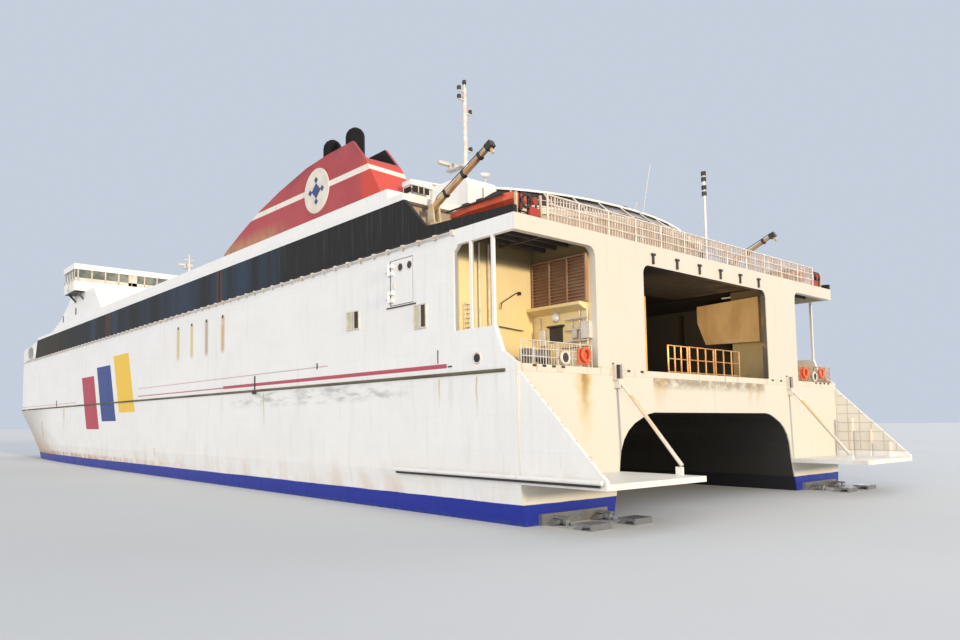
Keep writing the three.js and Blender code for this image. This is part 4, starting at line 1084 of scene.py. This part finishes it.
def bay_walls(prefix, side):
    """Ladder, pipes, hatch and lamp on the mooring bay's walls."""
    wall_x = STERN + 0.47

    def fore_wall(out, *points):
        """A line on the bay's forward wall through [y, z] points."""
        return [(wall_x - out, side * y, z) for y, z in points]

    def hall_wall(out, *points):
        """A line on the wall next to the hall through [s, z] points."""
        return [(at(s), side * (BAY_WALL + out), z) for s, z in points]

    ladder = [fore_wall(0.014, (y, 1.06), (y, 1.25)) for y in (1.885, 1.925)]
    rungs = [1.075 + 0.027 * i for i in range(7)]
    ladder += [fore_wall(0.014, (1.885, z), (1.925, z)) for z in rungs]
    pipes(prefix + "_bay_ladder", ladder, 0.0024, "steel", sides=6)
    tops = ((0.6, 1.22), (1.15, 1.235), (1.7, 1.17), (4.2, 1.20))
    risers = [fore_wall(0.010, (y, DECK), (y, 1.62)) for y in (1.80, 1.72, 1.683)]
    risers += [hall_wall(0.012, (s, DECK), (s, top)) for s, top in tops]
    risers += [hall_wall(0.020, (0.5, z), (2.2, z)) for z in (1.03, 1.10, 1.165)]
    pipes(prefix + "_bay_pipes", risers, 0.0055, "tube")
    small = [
        fore_wall(0.01, (1.62, 1.235), (1.61, 1.275), (1.47, 1.352)),
        fore_wall(0.01, (1.66, 1.13), (1.42, 1.115)),
        hall_wall(0.025, (0.4, 0.99), (2.4, 0.99)),
    ]
    pipes(prefix + "_bay_small_pipes", small, 0.0032, "dark")
    dark, boxes, lamp = bmesh.new(), bmesh.new(), bmesh.new()
    for plate in ((2.5, 3.5, 1.035, 1.13, 0.004), (2.35, 3.6, 1.13, 1.14, 0.02)):
        add_plate(dark, side, *plate, BAY_WALL)
    add_box(dark, (wall_x - 0.012, wall_x), (side * 1.435, side * 1.455), (1.34, 1.36))
    for plate in (
        (0.35, 0.95, 1.04, 1.14, 0.03),
        (1.3, 1.6, 1.05, 1.10, 0.022),
        (3.75, 4.1, 1.02, 1.12, 0.03),
    ):
        add_plate(boxes, side, *plate, BAY_WALL)
    dome = [(0.0, 0.026), (0.018, 0.022), (0.028, 0.010), (0.030, 0.0)]
    add_lathe(lamp, dome, (at(3.0), side * BAY_WALL, 1.19), (0, side, 0))
    from_bmesh(prefix + "_bay_hatch", dark, "dark")
    from_bmesh(prefix + "_bay_boxes", boxes, "tube")
    from_bmesh(prefix + "_bay_lamp", lamp, "lamp", smooth=True)


# Lounge


class FERRY_OT_lounge_fittings(bpy.types.Operator):
    """Makes the ribs and rails of the round lounge, its aerials, and the strip of windows ahead of it"""

    bl_idname = "ferry.lounge_fittings"
    bl_label = "Fit the Lounge"

    def execute(self, context):
        lounge_ribs()
        lounge_aerials()
        both_sides(lounge_sides)
        return {"FINISHED"}


def lounge_point(y, share, out=0.006):
    """A point of the leaning glass at a breadth y, from its foot (0) to its head (1)."""
    half_length, half_breadth, z = (a + (b - a) * share for a, b in zip(LOUNGE_FOOT, LOUNGE_HEAD))
    along = (half_length + out) * math.sqrt(max(0.0, 1 - (y / half_breadth) ** 2))
    return (at(13.0) - along, y, z)


def lounge_ribs():
    steps = 6
    ribs = []
    for i in range(-5, 5):
        y = (i + 0.5) * 0.25
        ribs.append([lounge_point(y * (1.06 - 0.06 * t / steps), t / steps) for t in range(steps + 1)])
    pipes("lounge_ribs", ribs, 0.0065, "tube")
    for name, share, radius in (("lounge_sill_rail", 0.03, 0.008), ("lounge_mid_rail", 0.5, 0.003)):
        line = [lounge_point(-1.2 + 2.4 * t / 40, share, 0.004) for t in range(41)]
        pipes(name, [line], radius, "tube")


def lounge_sides(prefix, side):
    """Dark panes and seams on the housing, with pale bars between them."""
    dark, pale = bmesh.new(), bmesh.new()
    for s0, s1, y0, y1, z0, z1 in (
        (12.0, 12.052, 1.535, 1.685, 2.148, 2.192),
        (13.1, 20.3, 1.525, 1.5285, 2.150, 2.190),
        (12.15, 12.9, 1.69, 1.6925, 2.150, 2.190),
        (8.49, 8.5, 1.353, 1.361, 2.03, 2.145),
    ):
        add_box(dark, (at(s0), at(s1)), (side * y0, side * y1), (z0, z1))
    for s in (14.2, 15.4, 16.6, 17.8, 19.0):
        add_box(pale, (at(s), at(s) + 0.012), (side * 1.525, side * 1.530), (2.150, 2.190))
    for y in (1.585, 1.635):
        add_box(pale, (at(11.99), at(12.052)), about(side * y, 0.004), (2.148, 2.192))
    from_bmesh(prefix + "_house_windows", dark, "brown_glass")
    from_bmesh(prefix + "_house_mullions", pale, "tube")


def lounge_aerials():
    """A dish on a stalk and two whips on the lounge's roof."""
    dish = bmesh.new()
    bowl = [(0.0, 0.0), (0.02, 0.003), (0.034, 0.012), (0.036, 0.012), (0.022, -0.002), (0.0, -0.005)]
    add_lathe(dish, [(0.005, 0), (0.005, 0.093)], (at(9.3), 1.25, 2.175), sides=8)
    add_lathe(dish, bowl, (at(9.3), 1.25, 2.272), (-0.55, 0.35, 0.75))
    from_bmesh("lounge_dish", dish, "tube", smooth=True)
    whips = [
        [(at(9.0), -0.58, 2.165), (at(9.0), -0.76, 2.78)],
        [(at(9.4), -0.50, 2.165), (at(9.4), -0.60, 2.42)],
    ]
    pipes("whip_antennas", whips, 0.003, "tube", sides=6)


# Funnels


class FERRY_OT_funnel_fittings(bpy.types.Operator):
    """Makes the discs, signs and grilles of the funnels"""

    bl_idname = "ferry.funnel_fittings"
    bl_label = "Fit the Funnels"

    def execute(self, context):
        both_sides(funnel_side)
        return {"FINISHED"}


def funnel_side(prefix, side):
    x, y, z = at(21.2), side * FUNNEL_FACE, 2.352
    disc, sign, grille = bmesh.new(), bmesh.new(), bmesh.new()
    coin = [(0.176, -0.001), (0.176, 0.003), (0.171, 0.005), (0.0, 0.005)]
    add_lathe(disc, coin, (x, y, z), (0, side, 0), 48)
    for dx, dz in ((0, 0), (0.085, 0), (-0.085, 0), (0, 0.085), (0, -0.085)):
        half = 0.024 if dx or dz else 0.06
        turns = ((-half, 0), (0, -half), (half, 0), (0, half))
        add_prism(sign, [(x + dx + a, y, z + dz + b) for a, b in turns], (0, side * 0.009, 0))
    for i in range(9):
        foot = 2.18 + 0.02 * i
        add_box(grille, (at(22), at(27)), (side * 1.555, side * 1.5605), (foot, foot + 0.008))
    from_bmesh(prefix + "_funnel_disc", disc, "disc")
    from_bmesh(prefix + "_funnel_sign", sign, "sign")
    from_bmesh(prefix + "_funnel_grille", grille, "dark")


# Bridge


class FERRY_OT_bridge_fittings(bpy.types.Operator):
    """Makes the window posts, rails and windows of the bridge and the fore house, and the bow's ovals"""

    bl_idname = "ferry.bridge_fittings"
    bl_label = "Fit the Bridge"

    def execute(self, context):
        bridge_posts()
        fore_house_windows()
        both_sides(bridge_side, bow_oval)
        return {"FINISHED"}


def bridge_posts():
    """Posts between the bridge's windows, strips along their sills and two solid panels aft."""
    posts = bmesh.new()
    for x in (at(84.08), at(89.42)):
        for i in range(21):
            add_box(posts, about(x, 0.005), about(-1.95 + 0.195 * i, 0.008), BRIDGE_WINDOW)
    for x in (at(84.0) + 0.003, at(89.5) - 0.010):
        add_box(posts, (x, x + 0.007), (-1.995, 1.995), (BRIDGE_SILL, 2.69))
    for side in (1, -1):
        for i in range(5):
            add_box(posts, about(at(84.2) + 0.128 * i, 0.008), about(side * 1.992, 0.005), BRIDGE_WINDOW)
        add_box(posts, (at(84.05), at(89.45)), (side * 1.990, side * 1.997), (BRIDGE_SILL, 2.69))
        add_box(posts, (at(84.03), at(84.1)), (side * 1.09, side * 1.22), (BRIDGE_SILL, 2.81))
    from_bmesh("bridge_posts", posts, "tube")


def fore_house_windows():
    slats = bmesh.new()
    for i in range(12):
        y0 = -1.65 + 0.3 * i
        y1 = y0 + 0.2
        foot, head = (at(97.8), 2.196), (at(95.7), 2.280)
        outline = [(x, y, z) for (x, z), y in ((foot, y0), (foot, y1), (head, y1), (head, y0))]
        add_prism(slats, outline, (0.0025, 0, 0.006))
    from_bmesh("fore_house_windows", slats, "brown_glass")


def bridge_side(prefix, side):
    """Rail on the wing's end, the wing's underside with its gussets in painted shade, and windows on the
    house below.
    """
    foot_aft, head_aft, foot, head = ((at(s), side * 2.014, z) for s in (85.5, 87.2) for z in (2.52, 2.64))
    lines = [[foot_aft, head_aft], [head_aft, foot], [foot, head], [head_aft, head], [foot_aft, foot]]
    pipes(prefix + "_bridge_wing_rail", lines, 0.004, "tube")
    panes, shaded_underside = bmesh.new(), bmesh.new()
    for ends in ((95.2, 95.6, 2.17, 2.27), (88.2, 88.7, 2.21, 2.31)):
        add_plate(panes, side, *ends, 0.003, plane=HOUSE_SIDE)
    # dark plate and gussets under the wing: painted shade
    add_box(shaded_underside, (at(84.1), at(89.4)), (side * 1.852, side * 1.985), (2.494, 2.5))
    gusset = ((1.851, 2.38), (1.851, 2.41), (1.93, 2.497), (1.97, 2.497))
    for s in (84.6, 88.4):
        add_prism(shaded_underside, [(at(s), side * y, z) for y, z in gusset], (0.02, 0, 0))
    from_bmesh(prefix + "_house_panes", panes, "brown_glass")
    from_bmesh(prefix + "_wing_underside", shaded_underside, "dark")


def bow_oval(prefix, side):
    glass = bmesh.new()
    oval = []
    for i in range(29):
        turn = 2 * math.pi * i / 28
        oval.append((at(109.3) + 0.22 * math.cos(turn), side * 2.003, 1.785 + 0.105 * math.sin(turn)))
    add_prism(glass, oval[:-1], (0, side * 0.004, 0))
    from_bmesh(prefix + "_bow_oval", glass, "pane")
    pipes(prefix + "_bow_oval_rim", [oval], 0.014, "tube")


# Roof and bow


class FERRY_OT_roof_fittings(bpy.types.Operator):
    """Makes the vents, hatches, walkway and cooling units of the roof, and the fittings of the bow"""

    bl_idname = "ferry.roof_fittings"
    bl_label = "Fit the Roof and Bow"

    def execute(self, context):
        roof_units()
        roof_walkway()
        bow_fittings()
        return {"FINISHED"}


def roof_units():
    """Rows of vents, cooling units with their fans, and low hatches."""
    vents, cases, grilles = bmesh.new(), bmesh.new(), bmesh.new()
    vent = [(0.030, 0), (0.030, 0.050), (0.056, 0.054), (0.056, 0.072), (0.030, 0.088), (0.0, 0.092)]
    for s in (25, 30, 36, 43, 50, 57, 64, 71):
        for y in (1.25, -1.25):
            add_lathe(vents, vent, (at(s), y, ROOF))
    for x in (at(33), at(47), at(61)):
        for y in (0.45, -0.45):
            add_box(cases, (x, x + 0.5), about(y, 0.17), (ROOF, ROOF + 0.13), 0.008)
            for z in (0.03, 0.05, 0.07, 0.09):
                add_box(grilles, (x + 0.04, x + 0.46), about(y, 0.172), (ROOF + z, ROOF + z + 0.008))
            for fan in (0.14, 0.36):
                add_lathe(grilles, [(0.075, 0.0), (0.075, 0.006), (0.0, 0.006)], (x + fan, y, ROOF + 0.129))
    for x in (at(28), at(40), at(54), at(68)):
        add_box(cases, (x, x + 0.24), about(0, 0.12), (ROOF, ROOF + 0.035), 0.004)
        add_box(cases, (x + 0.015, x + 0.225), about(0, 0.105), (ROOF + 0.034, ROOF + 0.045), 0.003)
    from_bmesh("roof_vents", vents, "tube", smooth=True)
    from_bmesh("roof_cases", cases, "house")
    from_bmesh("roof_grilles", grilles, "dark")


def roof_walkway():
    """Walkway with a rail to port, and three pipes to starboard."""

    def along(y, up=0.0):
        return [(at(s), y, ROOF + up) for s in (24, 74)]

    row("roof_walkway", *along(0.86, 0.003), "steel", 0.115, (0.105, 0.16, 0.006))
    rails("roof_walkway_rail", [along(0.96)], Height=0.10, Post_gap=0.5, Bar_gap=9.0)
    pipes("roof_pipes", [along(y, 0.010) for y in (-0.86, -0.89, -0.92)], 0.008, "tube")


def bow_line(z, out):
    """The line round the blunt bow at a height, a little outside the plating."""
    turns = 24
    points = []
    for i in range(turns + 1):
        turn = math.pi * (i / turns - 0.5)
        across = math.copysign(math.sqrt(abs(math.sin(turn))), turn) * (HALF_BEAM + out)
        points.append((at(BOW) + (BOW_REACH + out) * math.sqrt(max(0.0, math.cos(turn))), across, z))
    return points


def bow_fittings():
    """Lip, gutter and fairleads round the bow, and bollards, vents and a hatch on the fore deck."""
    pipes("bow_fender_lip", [bow_line(FENDER_LIP, 0.002)], 0.010, "rubber")
    pipes("bow_gutter", [bow_line(GUTTER, 0.006)], 0.0055, "tube")
    rims, holes, gear, hatch = bmesh.new(), bmesh.new(), bmesh.new(), bmesh.new()
    for y in (-1.30, -1.08, -0.48, -0.26, 0.26, 0.48, 1.08, 1.30):
        place = (at(BOW) + BOW_REACH * (1 - (abs(y) / HALF_BEAM) ** 4) ** 0.25, y, 1.45)
        add_torus(rims, place, AHEAD, 0.040, 0.007)
        # dark disc in each fairlead's hole: painted shade
        add_lathe(holes, [(0.038, -0.01), (0.038, 0.003), (0.0, 0.003)], place, AHEAD)
    bollard = [(0.016, 0), (0.016, 0.06), (0.022, 0.062), (0.022, 0.070), (0.0, 0.072)]
    vent = [(0.025, 0), (0.025, 0.07), (0.048, 0.074), (0.048, 0.090), (0.0, 0.100)]
    for side in (1, -1):
        for s in (114, 114.9):
            add_lathe(gear, bollard, (at(s), side * 1.2, 1.885), sides=16)
        add_box(gear, (at(113.6), at(115.3)), about(side * 1.2, 0.03), (1.880, 1.902), 0.003)
        add_lathe(hatch, vent, (at(110.5), side * 0.8, 1.910))
    add_box(hatch, (at(110), at(113)), about(0, 0.17), (1.90, 1.955), 0.006)
    add_box(hatch, (at(110.2), at(112.8)), about(0, 0.15), (1.954, 1.965), 0.004)
    from_bmesh("bow_fairleads", rims, "tube", smooth=True)
    from_bmesh("bow_fairlead_holes", holes, "dark")
    from_bmesh("fore_deck_bollards", gear, "dark")
    from_bmesh("fore_deck_hatch", hatch, "house")


# Masts and boats


class FERRY_OT_mast_fittings(bpy.types.Operator):
    """Makes the lamps and aerials of the main mast, and the lines of the cranes and boats"""

    bl_idname = "ferry.mast_fittings"
    bl_label = "Fit the Masts and Boats"

    def execute(self, context):
        mast_lamps()
        both_sides(crane_lines, boat_trim)
        return {"FINISHED"}


def mast_lamps():
    lamps = bmesh.new()
    x = at(24)
    lantern = [(0.017, 0), (0.021, 0.006), (0.021, 0.034), (0.010, 0.042)]
    for y, z in ((0.0, 3.845), (0.072, 3.773), (0.072, 3.687), (-0.072, 3.562), (-0.072, 3.188)):
        add_lathe(lamps, lantern, (x, y, z), sides=12)
    from_bmesh("main_mast_lamps", lamps, "dark", smooth=True)
    aerials = [
        [(x, 0.05, 3.687), (x, 0.05, 3.773)],
        [(x, -0.045, 3.562), (x, -0.045, 3.62), (x, -0.10, 3.63)],
        [(x, 0.016, 3.46), (x, 0.085, 3.46)],
    ]
    pipes("main_mast_aerials", aerials, 0.003, "tube", sides=6)


def crane_lines(prefix, side):
    """Dark head, lashings and wire of the boom."""
    lift = math.radians(27)
    eye = Vector((at(8.65), side * 1.79, 1.935))

    def on_boom(along, up, across=0.0):
        x = -along * math.cos(lift) + up * math.sin(lift)
        return eye + Vector((x, across, along * math.sin(lift) + up * math.cos(lift)))

    dark = bmesh.new()
    for start, end, low, high, half in (
        # along the boom, across its depth, and half the width
        (0.12, 0.142, -0.018, 0.026, 0.0175),
        (0.30, 0.322, -0.018, 0.026, 0.0175),
        (0.46, 0.482, -0.018, 0.026, 0.0175),
        (0.535, 0.585, -0.02, 0.022, 0.021),
    ):
        corners = ((start, low), (end, low), (end, high), (start, high))
        add_prism(dark, [on_boom(*corner, -half) for corner in corners], (0, 2 * half, 0))
    from_bmesh(prefix + "_crane_bands", dark, "dark", prefix + "_crane_boom")
    lines = [[on_boom(0.06, 0.045), on_boom(0.555, 0.03)], [on_boom(0.02, 0.03), on_boom(0.06, 0.045)]]
    pipes(prefix + "_crane_wire", lines, 0.003, "dark", prefix + "_crane_boom", 6)


def boat_trim(prefix, side):
    """Fender and thwarts of the rescue boat."""
    lines = [[(at(s), side * y, 1.832) for s in (1.7, 6.4)] for y in (1.706, 1.894)]
    pipes(prefix + "_boat_fender", lines, 0.006, "dark")
    seats = bmesh.new()
    for s in (2.4, 3.6, 4.8):
        add_box(seats, (at(s), at(s) + 0.05), (side * 1.73, side * 1.87), (1.842, 1.86), 0.004)
    from_bmesh(prefix + "_boat_seats", seats, "dark")


# Stage


class FERRY_OT_stage(bpy.types.Operator):
    """Sets the floor at the waterline, the lights and the camera"""

    bl_idname = "ferry.stage"
    bl_label = "Set the Stage"

    def execute(self, context):
        scene = context.scene
        light = scene.ferry_light
        make_floor(light)
        make_lights(light)
        make_camera(scene)
        scene.view_settings.view_transform = "Standard"
        return {"FINISHED"}


def make_floor(light):
    paint = Paint("studio_floor", light.floor, 0.85)
    paint.cover(paint.noise(0.35, 0.3, 0.7), tuple(c * 0.93 for c in light.floor), 0.6)
    floor = bpy.data.meshes.new("floor")
    reach = 160
    corners = [(-reach, -reach, 0), (reach, -reach, 0), (reach, reach, 0), (-reach, reach, 0)]
    floor.from_pydata(corners, [], [(0, 1, 2, 3)])
    floor.materials.append(paint.done())
    plane = bpy.data.objects.new("floor", floor)
    bpy.context.scene.collection.objects.link(plane)


def make_lights(light):
    world = bpy.data.worlds.new("studio")
    world.use_nodes = True
    back = world.node_tree.nodes["Background"]
    back.inputs[0].default_value = (0.70, 0.78, 0.90, 1)
    back.inputs[1].default_value = light.sky
    bpy.context.scene.world = world
    bounce = add_lamp("hall_bounce", "AREA", (-0.25, 1.0, -0.15), 3.0, (1.0, 0.78, 0.48))
    bounce.location = (STERN + 0.15, 0.55, 1.15)
    bounce.data.spread = math.radians(70)
    bounce.data.size = 0.5
    for name, source, strength, softness, tint in (
        ("key", (-1.0, 0.07, 0.15), light.sun, 5, (1.0, 0.84, 0.60)),
        ("side_fill", (-0.25, 1.0, 0.40), light.sun * 0.56, 40, (1.0, 0.96, 0.91)),
        ("starboard_fill", (0.1, -1.0, 0.5), light.sun * 0.3, 40, (0.95, 0.95, 1.0)),
    ):
        add_lamp(name, "SUN", source, strength, tint).data.angle = math.radians(softness)


def add_lamp(name, kind, source, strength, tint):
    """A lamp whose light comes from the direction of source."""
    data = bpy.data.lights.new(name, kind)
    data.energy = strength
    data.color = tint
    lamp = bpy.data.objects.new(name, data)
    lamp.rotation_mode = "QUATERNION"
    lamp.rotation_quaternion = Vector(source).to_track_quat("Z", "Y")
    bpy.context.scene.collection.objects.link(lamp)
    return lamp


def make_camera(scene):
    """The photograph's view: a level-headed lens off the picture's centre."""
    yaw, pitch, roll = (math.radians(a) for a in (37.537, 4.171, -0.416))
    ahead = Vector((math.cos(yaw) * math.cos(pitch), -math.sin(yaw) * math.cos(pitch), math.sin(pitch)))
    level = Vector((-math.sin(yaw), -math.cos(yaw), 0))
    up = level.cross(ahead)
    right = level * math.cos(roll) + up * math.sin(roll)
    above = up * math.cos(roll) - level * math.sin(roll)
    data = bpy.data.cameras.new("camera")
    data.sensor_width = 36
    data.lens = 36 * 738.7 / 960
    data.shift_x = (480 - 380) / 960
    data.shift_y = (370 - 320) / 960
    data.clip_start, data.clip_end = 0.05, 500
    camera = bpy.data.objects.new("camera", data)
    turn = Matrix((right, above, -ahead)).transposed().to_4x4()
    camera.matrix_world = Matrix.Translation((-8.403, 4.930, 0.543)) @ turn
    scene.collection.objects.link(camera)
    scene.camera = camera


class FERRY_PT_panel(bpy.types.Panel):
    """Lists the makers and their settings"""

    bl_label = "Ferry"
    bl_idname = "FERRY_PT_panel"
    bl_space_type = "VIEW_3D"
    bl_region_type = "UI"
    bl_category = "Ferry"

    def draw(self, context):
        for group in (context.scene.ferry_paint, context.scene.ferry_rails, context.scene.ferry_light):
            box = self.layout.box()
            for key in group.__annotations__:
                box.prop(group, key)
        for maker in MAKERS:
            self.layout.operator(maker.bl_idname)


MAKERS = (
    FERRY_OT_paint,
    FERRY_OT_side_fittings,
    FERRY_OT_stern_fittings,
    FERRY_OT_lounge_fittings,
    FERRY_OT_funnel_fittings,
    FERRY_OT_bridge_fittings,
    FERRY_OT_roof_fittings,
    FERRY_OT_mast_fittings,
    FERRY_OT_stage,
)
GROUPS = {"ferry_paint": FerryPaint, "ferry_rails": FerryRails, "ferry_light": FerryLight}


def register():
    for item in (*GROUPS.values(), *MAKERS, FERRY_PT_panel):
        bpy.utils.register_class(item)
    for name, group in GROUPS.items():
        setattr(bpy.types.Scene, name, PointerProperty(type=group))


def unregister():
    for name in GROUPS:
        delattr(bpy.types.Scene, name)
    for item in reversed((*GROUPS.values(), *MAKERS, FERRY_PT_panel)):
        bpy.utils.unregister_class(item)


def main():
    register()
    for maker in MAKERS:
        section, action = maker.bl_idname.split(".")
        getattr(getattr(bpy.ops, section), action)()


if __name__ == "__main__":
    main()
